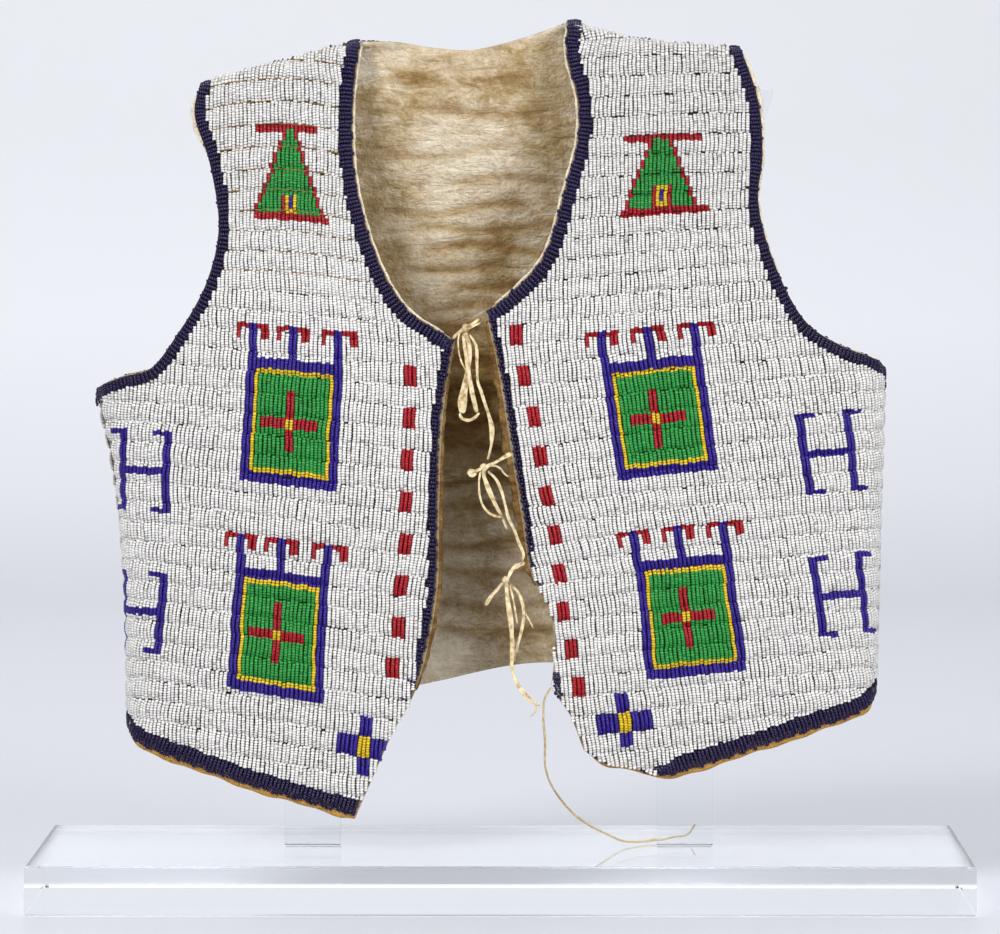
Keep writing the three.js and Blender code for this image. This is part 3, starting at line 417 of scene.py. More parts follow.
# %% [markdown]
# ## The cut of the panels
# Each front has four edges that a maker cuts: neck, opening, hem and armhole. The back shares the
# armholes and has its own neck and hem. The edges are smooth curves through a few points, x and z.

# %% Draw the outlines
CUT = {
    "left": {
        "neck": [(-60.2, 369.5), (-63.4, 337), (-61.2, 306), (-51.3, 273.7), (-40, 254.5), (-19.5, 240.5)],
        "opening": [(-19.5, 240.5), (-24.5, 209), (-26.2, 170), (-27.2, 132), (-35.8, 92.7), (-47, 71),
                    (-62.5, 35.8)],
        "hem": [(-62.5, 35.8), (-106, 48), (-141, 59.5), (-158.7, 66.4), (-161.5, 70.4), (-162.1, 73.5)],
        "armhole": [(-174.9, 216), (-173.8, 219.6), (-162.4, 224.4), (-150.5, 227.9), (-138.6, 242.7),
                    (-126.2, 264.5), (-120.9, 288), (-125.2, 316.8), (-131.6, 337), (-129.5, 350.6)]},
    "right": {
        "neck": [(28.4, 377.6), (27.6, 363), (32.6, 343), (32.5, 327), (26.8, 305), (17.5, 276), (5, 262),
                 (-6.5, 252.8)],
        "opening": [(-6.5, 252.8), (-1, 226.8), (4.7, 191), (9, 164.6), (12.5, 142.5), (21.5, 123),
                    (22.6, 104), (22.4, 92), (29.4, 80.9), (35.5, 65.5)],
        "hem": [(35.5, 65.5), (44, 60), (57, 57.4), (69, 53.4), (85.3, 57.2), (128.7, 70.7), (158.5, 80.6),
                (161.7, 84.6), (162.3, 88)],
        "armhole": [(165.8, 222.5), (165.1, 229.4), (159.2, 232.9), (148.8, 236.6), (131.3, 247.4),
                    (117.1, 272.7), (110, 300), (111.9, 319.3), (110.3, 342), (102.5, 366.4)]},
}
BACK_CUT = {"neck": [(-60.2, 369.5), (-45, 369), (-30, 366), (-12.5, 364.6), (9, 370.2), (28.4, 377.6)],
            "hem": [(-162.1, 73.5), (-120, 77), (-80, 82), (-36, 88.5), (12, 98), (60, 96), (110, 91),
                    (162.3, 88)]}
UNDERARM_Z = {"left": 216, "right": 222.5}
SIDE_HEM_Z = {"left": 73.5, "right": 88}


def seam(side, from_z, to_z):
    z = np.linspace(from_z, to_z, 160)
    return np.stack([side_x(z)[0 if side == "left" else 1], z], axis=1)


def ridge(side):
    (tip, _), (neck, _) = SHOULDER[side]["tip"], SHOULDER[side]["neck"]
    x = np.linspace(tip, neck, 90)
    return np.stack([x, ridge_height(x)], axis=1)


def on_form(line, count):
    """A line of x and z at equal steps measured along the cloth, not along its picture."""
    return even_steps(np.hstack([surface(line[:, 0], line[:, 1], -1)[0], line]), count)[:, 3:]


def smooth_edges(cut):
    return {kind: on_form(smooth_line(rows, 8 * EDGE_STEPS), EDGE_STEPS) for kind, rows in cut.items()}


def front_loop(side):
    """The outline of a front, once round."""
    return np.vstack([edges[side][kind] for kind in ("neck", "opening", "hem", "side", "armhole", "ridge")])


EDGE_STEPS = 400
edges = {}
for side, cut in CUT.items():
    edges[side] = smooth_edges(cut)
    edges[side]["side"] = on_form(seam(side, SIDE_HEM_Z[side], UNDERARM_Z[side]), EDGE_STEPS)
    edges[side]["ridge"] = on_form(ridge(side), EDGE_STEPS)
back_edges = smooth_edges(BACK_CUT)
print("left neck edge is", round(line_length(edges["left"]["neck"])), "mm")

# %% [markdown]
# ## Hide panels
# The hide is seen inside the neck and the front gap: cream suede with soft cross creases, stains, and
# painted shade and light.
# Each panel has four sides, so a blended patch fills it: the sum of the two ways of joining opposite
# sides, less what both of them count. A thin closed shell is laid through it, under the beads.

# %% Build the hide
HIDE = {"outer": -1.55, "inner": -WALL, "rows": 190, "columns": 125}
SEAM_STRIP = 4.5  # how far from the side seams, front to back, the hide shows between the beads
HEM_RAGGED = 0.7  # how far the hide hangs down below the fronts' hems
# Soft creases across the back's inside: height at the middle, tilt, wave, from x, to x, and depth
CREASES = [(352, 0.02, 1.5, -62, 20, 0.5), (338, -0.03, 1.2, -50, 24, 0.7), (322, 0.04, 2.0, -66, 10, 0.6),
           (309, -0.02, 1.4, -30, 34, 0.8), (297, 0.05, 1.8, -60, 22, 0.9), (288, 0.02, 1.2, -46, 40, 0.9),
           (279, -0.04, 1.6, -38, 34, 1.1), (271, 0.03, 1.2, -44, 10, 1.0), (263, 0.00, 1.5, -30, 26, 1.1),
           (254, 0.06, 1.2, -36, 14, 0.9), (243, -0.05, 1.4, -60, 50, 0.8), (231, 0.03, 1.0, -46, 30, 0.9),
           (217, -0.02, 1.6, -70, 60, 0.8), (203, 0.04, 1.3, -38, 44, 0.9), (192, -0.03, 1.1, -30, 20, 0.8),
           (178, 0.05, 1.5, -64, 50, 0.9), (166, -0.02, 1.2, -34, 30, 0.8), (151, 0.03, 1.4, -60, 64, 0.9),
           (138, -0.04, 1.2, -36, 26, 0.8), (124, 0.02, 1.6, -80, 70, 0.7), (112, -0.03, 1.2, -40, 36, 0.7)]


def crease_depth(x, z):
    """Each crease is a trough: its depth times a bell across it, 2.2 mm wide, faded out at both ends. Its
    line tilts and waves along x."""
    total = np.zeros_like(x)
    for middle, tilt, wave, start, end, depth in CREASES:
        line = middle + tilt * x + wave * np.sin(x / 9 + middle)
        fade = np.clip((x - start) / 14, 0, 1) * np.clip((end - x) / 14, 0, 1)
        total += depth * fade * np.exp(-(((z - line) / 2.2) ** 2))
    return total


# Stains and painted shade on the back's inside: x, z, how far they reach along x and z, and their
# strength. The broad dark spots in the gap below the neck, at 216 and 165 mm high, paint the shadow of the
# fronts and ties along with a stain. Below nothing the hide is lighter: the two such spots down the middle
# top, at 317 and 293 mm, are painted light, and the others clean places.
STAIN_AND_SHADE_SPOTS = [(-38, 352, 8, 9, 0.25), (4, 353, 6, 11, 0.3), (19, 335, 14, 30, 0.35), (-54, 313, 12, 32, 0.35),
          (1, 278, 6, 26, 0.4), (-46, 270, 10, 16, 0.35), (-16, 317, 17, 12, -0.5),
          (-27, 293, 19, 9, -0.4), (-43, 361, 14, 6, -0.3), (-27, 265, 12, 5, -0.3),
          (-18, 355, 30, 14, 0.2), (-14, 216, 34, 27, 0.9), (-9, 165, 40, 30, 0.2),
          (-24, 100, 12, 9, -0.55), (10, 112, 22, 14, 0.3), (-24, 150, 6, 30, -0.15)]


def stain_and_shade_strength(x, z):
    """The sum of soft spots, each its strength times a bell of the distance over its reach."""
    total = np.zeros_like(x)
    for sx, sz, reach_x, reach_z, strength in STAIN_AND_SHADE_SPOTS:
        total += strength * np.exp(-(((x - sx) / reach_x) ** 2) - ((z - sz) / reach_z) ** 2)
    return total


def ragged(line, reach):
    """A hem line let down by a ragged amount: reach times one plus two sine waves, none at its ends."""
    x = line[:, 0]
    fade = np.clip(np.minimum(np.arange(len(x)), np.arange(len(x))[::-1]) / 20, 0, 1)
    drop = reach * fade * (1 + 0.6 * np.sin(x / 6.1) + 0.4 * np.sin(x / 2.3 + 1))
    return np.stack([x, line[:, 1] - drop], axis=1)


def patch(top, bottom, start, end, u, v):
    """The blended patch of four sides at fractions u across and v down."""
    def at(line, t):
        steps = np.linspace(0, 1, len(line))
        return np.stack([np.interp(t, steps, line[:, 0]), np.interp(t, steps, line[:, 1])], axis=-1)

    u, v = np.meshgrid(u, v)
    across = at(start, v) * (1 - u[..., None]) + at(end, v) * u[..., None]
    down = at(top, u) * (1 - v[..., None]) + at(bottom, u) * v[..., None]
    corners = ((top[0] * (1 - u[..., None]) + top[-1] * u[..., None]) * (1 - v[..., None])
               + (bottom[0] * (1 - u[..., None]) + bottom[-1] * u[..., None]) * v[..., None])
    return across + down - corners


def hide_panel(name, spots, face, replaces, creased):
    """A closed shell: the outer grid, the inner grid with its creases, and a rim between their edges."""
    x, z = spots[..., 0], spots[..., 1]
    depth = crease_depth(x, z) if creased else 0.35 * crease_depth(-x * 0.8, z + 6)
    outer = surface(x, z, face, HIDE["outer"])[0]
    inner = surface(x, z, face, HIDE["inner"] + np.minimum(depth, 1.2))[0]
    rows, columns = x.shape
    count = rows * columns
    quads = grid_quads(rows, columns)
    index = np.arange(count).reshape(rows, columns)
    rim = np.concatenate([index[0], index[1:, -1], index[-1, -2::-1], index[-2:0:-1, 0]])
    after = np.roll(rim, -1)
    wall = np.stack([rim, after, after + count, rim + count], axis=1)
    flip = face * np.sign(z[0, 0] - z[-1, 0]) * np.sign(x[0, -1] - x[0, 0])
    faces = np.vstack([quads, quads[:, ::-1] + count, wall])
    if flip < 0:
        faces = faces[:, ::-1]
    # Painted shade, with some dirt, on the outer face under the beads; none at the rim and beside the side
    # seams, where the hide shows.
    shade_and_dirt_under_beads = np.zeros(x.shape)
    shade_and_dirt_under_beads[1:-3, 1:-1] = 1
    shade_and_dirt_under_beads[(np.abs(outer[..., 1]) < SEAM_STRIP) & (ridge_height(x) - z > 60)] = 0
    hem_gap = z - z[-1]
    golden = np.clip(1.3 - hem_gap / 4, 0, 1) * (0 if creased else 1)
    values = {"crease": np.concatenate([np.zeros(count), depth.ravel()]),
              "shade_and_dirt_under_beads": np.concatenate([shade_and_dirt_under_beads.ravel(), np.zeros(count)]),
              "golden": np.tile(golden.ravel(), 2),
              "stain_and_shade": np.tile((stain_and_shade_strength(x, z) if creased else 0.3 + 0 * x).ravel(), 2)}
    points = np.vstack([outer.reshape(-1, 3), inner.reshape(-1, 3)])
    piece = mesh_piece(name, points, faces, "hide", replaces, point_values=values)
    a, b, c = (inner[:-1, :-1], inner[1:, :-1], inner[:-1, 1:])
    area = np.linalg.norm(np.cross(b - a, c - a), axis=-1).sum() * MM * MM
    return piece, area


def one_side(*lines):
    """Lines that meet end to end, as one line of even steps."""
    return even_steps(np.vstack([lines[0], *(line[1:] for line in lines[1:])]), 900)


def add_hides():
    """The columns of a front crowd towards its side seam, and those of the back towards both."""
    towards_side = 1 - (1 - np.linspace(0, 1, HIDE["columns"])) ** 1.8
    towards_both = (1 - np.cos(np.pi * np.linspace(0, 1, 2 * HIDE["columns"]))) / 2
    v = np.linspace(0, 1, HIDE["rows"])
    made, outside = {}, {}
    for side, e in edges.items():
        outside[side] = one_side(e["armhole"][::-1], e["side"][::-1])
        spots = patch(e["ridge"][::-1], ragged(e["hem"], HEM_RAGGED), one_side(e["neck"], e["opening"]),
                      outside[side], towards_side, v)
        made[side] = hide_panel(f"{side}_front_hide", spots, -1, [f"front_{side}"], False)
    top = one_side(edges["left"]["ridge"], back_edges["neck"], edges["right"]["ridge"][::-1])
    spots = patch(top, back_edges["hem"], outside["left"], outside["right"], towards_both, v)
    made["back"] = hide_panel("back_hide", spots, 1, ["back"], True)
    return made


hides = add_hides()
for key, (piece, area) in hides.items():
    print(piece.name, "covers", round(area * 1e4), "square cm")

# %% [markdown]
# ## Where the beads go
# In lane stitch a thread carries eight beads across a lane and dips into the hide at its end, so the
# lane stands up as a rib. A lane is about 9 mm wide, and the runs stand about 1.75 mm apart. Here a
# lane's number grows downwards, and a run's number grows to the right of a middle line through the
# figures. Counting rows of beads and runs gives every bead a place on a chart.

# %% Lanes and runs
BEADS_PER_LANE = 8
LANES = {"left": {"top": 367.5, "pitch": 8.52, "from": -150, "slope": 0.025, "fan": 0.0042, "towards": 1,
                  "arch": 0.004, "crown": -92, "taller": 0.9, "sag": 0.0, "sag_from": -20},
         "right": {"top": 388.55, "pitch": 8.5, "from": 150, "slope": 0.095, "fan": 0.0, "towards": -1,
                   "arch": 0.0006, "crown": 20, "taller": 0.0, "sag": 2.2, "sag_from": 62}}
LANE_EASE = 12  # over how many millimetres a lane's slope sets in
SHOULDER_LANES = 6
LANE_RISE = 0.75  # of a lane's middle over its borders
# The middle line through the figures and the spacing of the runs: rows of height, x and spacing
RUNS = {"left": [(331, -89.8, 1.66), (294, -89.3, 1.68), (247, -87.4, 1.74), (231, -87.6, 1.76),
                 (178, -90.8, 1.82), (141, -93.4, 1.76), (90, -96.7, 1.81), (50, -99, 1.82)],
        "right": [(327, 62.4, 1.73), (294, 61.9, 1.74), (247, 63.4, 1.79), (233, 65.3, 1.80),
                  (184, 72.4, 1.80), (145, 79.1, 1.74), (98, 84.8, 1.79), (60, 89.5, 1.80)]}
REACH = 75  # runs counted to each side of the middle line
RUN_NUMBERS = np.arange(-REACH, REACH + 1)
LANES_DOWN = 40


def eased(x, lane):
    reach = lane["towards"] * (x - lane["from"])
    return (reach + np.hypot(reach, LANE_EASE)) / 2


def lane_height(x, number, lane):
    """A lane's upper border: its top less its number times the pitch, sloping more with each lane. On the
    shoulder the lanes are taller, and they arch by the square of the distance from their crown. Halfway
    down they sag beside the opening by a parabola of the lane's number."""
    even = lane["top"] - number * lane["pitch"] - (lane["slope"] + number * lane["fan"]) * eased(x, lane)
    taller = lane["taller"] * np.clip(SHOULDER_LANES - number, 0, 4)
    fade = np.clip((2.2 * SHOULDER_LANES - number) / SHOULDER_LANES, 0, 1)
    s = np.clip((number - 15) / 18, 0, 1)
    sag = lane["sag"] * 4 * s * (1 - s) * np.clip((lane["sag_from"] - x) / 40, 0, 1)
    return even + taller - lane["arch"] * fade * (x - lane["crown"]) ** 2 - sag


def lane_number(x, z, lane):
    """The lane at a place, with its fraction: where z falls between the heights of all borders."""
    numbers = np.arange(60)
    return np.interp(-z, -lane_height(x, numbers, lane), numbers)


def runs_on_border(x, z, face, middle, numbers, spacing):
    """x of the runs on one border of a lane: measured along the cloth from the middle line, and a spacing
    apart. A run beyond the cloth is not a number."""
    run = run_along(surface(x, z, face)[0])
    want = np.interp(middle, x, run) + numbers * spacing
    return np.where((want > 0) & (want < run[-1]), np.interp(want, run, x), np.nan)


def run_places(side):
    lane, table = LANES[side], np.array(RUNS[side])[::-1]
    places = []
    for border in range(LANES_DOWN + 1):
        z_guess = lane_height(table[0, 1], border, lane)
        x = np.linspace(*side_x(z_guess), 1500)
        middle, spacing = (np.interp(z_guess, table[:, 0], table[:, k]) for k in (1, 2))
        places.append(runs_on_border(x, lane_height(x, border, lane), -1, middle, RUN_NUMBERS, spacing))
    return np.array(places)


run_x = {side: run_places(side) for side in LANES}
print("runs on the left's fifteenth lane:", int(np.isfinite(run_x["left"][15]).sum()))

# %% [markdown]
# ## The figures
# The figures are old and common ones of lane stitch on the northern plains: tents, boxes with forked
# poles, joined bars and small crosses. Each is charted by rule in runs and rows, and counted out from
# where its top middle sits.

# %% Colours of the beads
COLOURS = {"white": srgb(0.885, 0.88, 0.875), "blue": srgb(0.17, 0.08, 0.55),
           "green": srgb(0.16, 0.59, 0.25), "yellow": srgb(0.88, 0.75, 0.12),
           "red": srgb(0.66, 0.05, 0.12), "navy": srgb(0.105, 0.05, 0.26)}
NAMES = list(COLOURS)
PALETTE = np.array([COLOURS[name] for name in NAMES])


def chart_row(side, x, z, whole_lane=False):
    """The row of beads at a place. whole_lane gives the first row of the lane that holds it."""
    number = float(lane_number(x, z, LANES[side]))
    return int(number) * BEADS_PER_LANE if whole_lane else round(number * BEADS_PER_LANE)


def chart_run(side, x, row):
    """The run nearest to x in the lane of a row."""
    return int(np.nanargmin(np.abs(run_x[side][row // BEADS_PER_LANE] - x))) - REACH


def fill(chart, colour, row, run, rows, runs):
    """Beads of one colour from a row down over rows, and from a run rightwards over runs."""
    chart[row:row + rows, REACH + run:REACH + run + runs] = NAMES.index(colour)


# %% Chart each figure
def tent(chart, row, run, apex, body, bar, base, door):
    """A green triangle edged in red that widens by one run at each side every four rows. A red bar crosses
    its top, red ground carries it, and its door has a yellow frame round a blue slit. bar and base are
    first run and runs."""
    fill(chart, "red", row, run + bar[0], 3, bar[1])
    for down in range(body):
        half = apex + down // 4
        fill(chart, "red", row + 2 + down, run - half - 1, 1, 2 * half + 2)
        fill(chart, "green", row + 2 + down, run - half, 1, 2 * half)
    ground = row + 2 + body
    fill(chart, "red", ground, run + base[0], 3, base[1])
    fill(chart, "red", ground - door["rows"], run - 2, door["rows"], 4 + door["jambs"] - 1)
    fill(chart, "yellow", ground - door["rows"], run - 1, door["rows"], 3)
    fill(chart, "blue", ground - door["rows"] + door["slit"], run, 5, 1)


def box_with_poles(chart, row, run, wide, poles, height):
    """A blue frame two runs wide, a yellow line inside it, a green field with a red cross, and three blue
    poles above, each with a red bar whose ends hang down."""
    first, odd = run - wide // 2, wide % 2
    for pole, left, right in ((first, 3, 3), (run - 1, 3, 3), (first + wide - 2, 3, 4)):
        fill(chart, "red", row, pole - left, 2, left + 2 + right)
        fill(chart, "red", row, pole - left, 6, 1)
        fill(chart, "red", row, pole + right, 6, 2)
        fill(chart, "blue", row, pole, poles, 2)
    top = row + poles
    fill(chart, "blue", top, first, height, wide)
    fill(chart, "yellow", top + 4, first + 2, height - 8, wide - 4)
    fill(chart, "green", top + 6, first + 3, height - 12, wide - 6)
    stem = run - 2 + odd
    fill(chart, "red", top + 12, stem, 24, 2)
    fill(chart, "red", top + 22 + odd, stem - 5 - odd, 4, 13 + odd)
    fill(chart, "yellow", top + 22 + odd, stem, 4, 2)


def joined_bars(chart, row, run, outwards, apart=10):
    """Two upright bars joined in the middle, with short ends that point to the side seam. run is the bar
    nearer to the opening."""
    for bar in (0, outwards * (apart + 2)):
        fill(chart, "blue", row, run + bar, 33, 2)
        end = run + bar + 2 if outwards > 0 else run + bar - 3
        fill(chart, "blue", row, end, 2, 3)
        fill(chart, "blue", row + 31, end, 2, 3)
    fill(chart, "blue", row + 15, run + 2 if outwards > 0 else run - apart, 3, apart)


def small_cross(chart, row, run, left, right, foot):
    """A lane of blue with a yellow middle, and blue above and below it."""
    lane = BEADS_PER_LANE
    fill(chart, "blue", row - lane, run - 1, 2 * lane + foot, 3)
    fill(chart, "blue", row, run - 1 - left, lane, left + 3 + right)
    fill(chart, "yellow", row, run - 1, lane, 3)


# Where the figures sit: z of the top row, with the run for tents and boxes, or x and z for the others
FIGURES = {
    "left": {"tent": {"z": 332.3, "run": 0, "apex": 1, "body": 31, "bar": (-9, 16), "base": (-9, 19),
                      "door": {"rows": 7, "slit": 0, "jambs": 1}},
             "box": [{"z": 246.1, "wide": 23, "poles": 13, "height": 49},
                     {"z": 155, "wide": 23, "poles": 13, "height": 49}],
             "bars": [(-141.6, 201.7), (-145.0, 141)], "cross": (-57.9, 67.1, 5, 4, 7)},
    "right": {"tent": {"z": 328.4, "run": 4, "apex": 2, "body": 28, "bar": (-9, 19), "base": (-10, 22),
                       "door": {"rows": 9, "slit": 2, "jambs": 2}},
              "box": [{"z": 247.0, "wide": 24, "poles": 13, "height": 47},
                      {"z": 160.5, "wide": 24, "poles": 13, "height": 48}],
              "bars": [(125.8, 208.2), (132.3, 147.6)], "cross": (53, 78.4, 5, 5, 6)},
}
# Red blocks beside the opening, on every second lane: rows of height and x
BLOCKS = {"left": {"line": [(99.7, -45.1), (136, -41.3), (171.8, -40), (225.5, -38.7)], "count": 8},
          "right": {"line": [(92.9, 32.5), (242.6, 6.9)], "count": 10}}


def front_chart(side):
    chart = np.zeros((BEADS_PER_LANE * (LANES_DOWN + 1), 2 * REACH + 1), int)
    figures, outwards = FIGURES[side], 1 if side == "right" else -1
    middle = {"left": -90, "right": 70}[side]
    shape = dict(figures["tent"])
    tent(chart, chart_row(side, middle, shape.pop("z")), shape.pop("run"), **shape)
    for shape in map(dict, figures["box"]):
        box_with_poles(chart, chart_row(side, middle, shape.pop("z")), 0, **shape)
    for x, z in figures["bars"]:
        row = chart_row(side, x, z)
        joined_bars(chart, row, chart_run(side, x, row), outwards)
    x, z, left, right, foot = figures["cross"]
    row = chart_row(side, x, z, whole_lane=True)
    small_cross(chart, row, chart_run(side, x, row), left, right, foot)
    line, count = np.array(BLOCKS[side]["line"]), BLOCKS[side]["count"]
    first = chart_row(side, line[-1, 1], line[-1, 0], whole_lane=True)
    for row in first + 2 * BEADS_PER_LANE * np.arange(count):
        z = lane_height(line[:, 1].mean(), row / BEADS_PER_LANE + 0.5, LANES[side])
        x = float(np.interp(z, line[:, 0], line[:, 1]))
        fill(chart, "red", row, chart_run(side, x, row) - 1, BEADS_PER_LANE, 3)
    return chart


charts = {side: front_chart(side) for side in LANES}
for side, chart in charts.items():
    print(side, "chart has", int((chart > 0).sum()), "coloured beads")

# %% [markdown]
# ## The beads themselves
# A seed bead is a short drum with rounded shoulders, wider than it is long. Only its upper part shows, so
# each one is three half rings: a narrow one, a wide one and a narrow one. Eighty thousand full drums would
# be too heavy, and the hide hides their undersides.

# %% Build many beads as one mesh
BEAD_RADIUS = 0.91
END_SHARE = 0.72  # of the radius, at a bead's ends
# Painted shade, with some dirt, at each bead's feet and ends: 1 keeps the bead's own colour, 0 is darkest.
FOOT_LIT_CLEAN = 0.66
TIP_LIT_CLEAN = {"white": 0.62, "coloured": 0.35, "edging": 0.1, "back": 0.7}


def beads(name, start, end, out, radius, colour, slot, replaces, tip, segments=3):
    """For each bead, rings at its start, middle and end. A ring's point is the centre plus radius times
    cosine along the side direction and sine along the outward one. The end rings are narrower. A number
    on each point paints shade, with some dirt, between and under the beads: it is 1 on top of the bead,
    less at its foot, tip at its ends and 0 at the feet of its ends."""
    middle, along = (start + end) / 2, unit(end - start)
    out = unit(out - along * (out * along).sum(axis=-1, keepdims=True))
    side = np.cross(along, out)
    angle = np.radians({3: [-8, 50, 130, 188], 2: [-6, 90, 186]}[segments])
    rings = np.stack([start, middle, end], axis=1)
    reach = radius[:, None] * np.array([END_SHARE, 1.0, END_SHARE])
    arc = (side[:, None, None] * np.cos(angle)[None, None, :, None]
           + out[:, None, None] * np.sin(angle)[None, None, :, None])
    points = rings[:, :, None] + arc * reach[:, :, None, None]
    per = 3 * (segments + 1)
    quads = grid_quads(3, segments + 1)[None] + np.arange(len(start))[:, None, None] * per
    foot = np.arange(segments + 1) % segments == 0
    tip = np.broadcast_to(tip, radius.shape)[:, None]
    # Painted shade with some dirt: darkest at the feet of the end rings, lightest on top of the bead.
    end_lit_clean = np.where(foot, 0, tip)
    lit_clean = np.stack([end_lit_clean, np.where(foot, FOOT_LIT_CLEAN, 1 + 0 * tip), end_lit_clean], axis=1)
    faces = np.repeat(colour, 2 * segments, axis=0)
    return mesh_piece(name, points.reshape(-1, 3), quads.reshape(-1, 4), slot, replaces, faces,
                      {"lit_clean": lit_clean.reshape(-1)})


def tinted(index):
    """Bead colours from the palette, each a little lighter or darker, and one in thirty a good deal
    duller."""
    colour = PALETTE[index] * rng.normal(1, 0.07, (len(index), 1))
    odd = rng.random(len(index)) < 0.035
    colour[odd] *= rng.uniform(0.55, 0.95, (odd.sum(), 1)) * np.array([1.0, 0.97, 0.92])
    return np.clip(colour, 0.002, 0.9)


def inside(points, loop):
    """True where a level line to the left of a point crosses the loop an odd number of times."""
    x, z = points[:, :1], points[:, 1:]
    ax, az = loop[:, 0], loop[:, 1]
    bx, bz = np.roll(ax, -1), np.roll(az, -1)
    found = []
    for part in np.array_split(np.arange(len(points)), max(1, len(points) // 4000)):
        spans = (az > z[part]) != (bz > z[part])
        cross_x = ax + (z[part] - az) / np.where(bz == az, 1e-9, bz - az) * (bx - ax)
        found.append((spans & (cross_x < x[part])).sum(axis=1) % 2 == 1)
    return np.concatenate(found)


def clear_of(spots, face, borders):
    """True where a bead is far enough from every border, measured through space on the cloth."""
    points = surface(spots[:, 0], spots[:, 1], face)[0]
    ok = np.ones(len(points), bool)
    for line, distance in borders:
        rim = surface(line[:, 0], line[:, 1], face)[0]
        distance = np.broadcast_to(distance, len(rim))
        for part in np.array_split(np.arange(len(points)), max(1, len(points) // 3000)):
            gap = np.linalg.norm(points[part, None] - rim[None], axis=-1)
            ok[part] &= (gap > distance).all(axis=1)
    return ok


# %% Sew the fronts
EDGING = {
    "left": {"neck": (6, 0, 1), "opening": (4.6, 0, 0.74), "hem": (8.3, 0, 1), "armhole": (5, 0, 1)},
    "right": {"neck": (6, 0, 1), "opening": (3.6, 0, 0.62), "hem": (8.3, 0.22, 1), "armhole": (5, 0, 1)},
}  # width, and the part of the edge that it is sewn along
EDGE_CLEAR = {"seam": 0.15, "bare": 0.2, "edging": -0.15}  # between a bead's middle and what it stops at


def borders_of(side, kinds=("neck", "opening", "hem", "armhole")):
    """Each edge's line with how far the lanes stay away from it."""
    found = []
    for kind in kinds:
        width, start, stop = EDGING[side][kind]
        t = np.linspace(0, 1, EDGE_STEPS)
        sewn = np.clip((t - start) / 0.1, 0, 1) if start else 1.0
        sewn = sewn * (np.clip((stop - t) / 0.12, 0, 1) if stop < 1 else 1.0)
        apart = EDGE_CLEAR["bare"] + sewn * (width + EDGE_CLEAR["edging"] - EDGE_CLEAR["bare"])
        found.append((edges[side][kind], apart))
    return found


def waves(lanes, x, size):
    """Two slow sine waves along x, which start anew in each lane: how far its runs are pushed sideways."""
    start = rng.uniform(0, 2 * np.pi, (2, lanes.max() + 1))
    return size * (0.6 * np.sin(x / 14 + start[0, lanes]) + 0.4 * np.sin(x / 5.7 + start[1, lanes]))


def x_per_mm(x, z, face):
    """How much x changes for one millimetre along the cloth: little near the side seams."""
    h = 0.05
    step = surface(x + h, z, face)[0] - surface(x - h, z, face)[0]
    return 2 * h / np.linalg.norm(step, axis=-1)


def run_joints(lanes, x, z, squeeze, face):
    """The joints between the beads of each run. A run leans and bows a little with its neighbours, and
    squeeze draws its ends together, which leaves the groove between lanes."""
    t = 0.5 + (np.linspace(0, 1, BEADS_PER_LANE + 1)[None] - 0.5) * squeeze[:, None]
    count = len(x)
    push, bow, lean = ((waves(lanes, x[:, 0], size) + rng.normal(0, 0.05, count))[:, None]
                       for size in (0.4, 0.36, 0.24))
    sideways = push + bow * 4 * t * (1 - t) + lean * (2 * t - 1)
    sideways += rng.normal(0, 0.045, (count, BEADS_PER_LANE + 1))
    joints_x = x[:, :1] + (x[:, 1:] - x[:, :1]) * t + sideways * x_per_mm(x[:, :1], z[:, :1], face)
    uneven = t + rng.normal(0, 0.014, t.shape) + rng.normal(0, 0.03, (count, 1))
    return joints_x, z[:, :1] + (z[:, 1:] - z[:, :1]) * uneven


def sew(places, lanes, squeeze, face, loop, limits):
    """Fill the lanes inside the loop with runs, as far as the limits allow. places holds x and z of each
    run's two ends. Returned are the beads' starts, ends and outward directions, their heights, and for
    each bead of each run whether it was sewn. A run is an arch: LANE_RISE times one less the square of the
    place in the lane, and its last beads dip."""
    x, z = run_joints(lanes, *places, squeeze, face)
    flat = np.stack([(x[:, :-1] + x[:, 1:]) / 2, (z[:, :-1] + z[:, 1:]) / 2], axis=-1).reshape(-1, 2)
    keep = inside(flat, loop)
    keep[keep] = clear_of(flat[keep], face, limits)
    height, keep = flat[keep, 1], keep.reshape(-1, BEADS_PER_LANE)
    t = np.linspace(-1, 1, BEADS_PER_LANE + 1)
    arch = LANE_RISE * (1 - t**2) - 0.3 * np.abs(t) ** 6
    points, normals = surface(x, z, face, np.broadcast_to(arch - BEAD_RADIUS, x.shape))
    out = unit(normals[:, :-1] + normals[:, 1:])
    return (points[:, :-1][keep], points[:, 1:][keep], out[keep]), height, keep


def ends_of_runs(borders, heights, lanes, runs):
    """Each run's ends lie on the borders above and below its lane. Runs beyond the cloth are left out."""
    x, z = (np.stack([v[:-1], v[1:]], axis=-1).reshape(-1, 2) for v in (borders, heights))
    good = np.isfinite(x).all(axis=1)
    return (x[good], z[good]), lanes[good], runs[good]


def lanes_and_runs(lanes, runs):
    return (v.ravel() for v in np.meshgrid(np.arange(lanes), np.arange(runs), indexing="ij"))


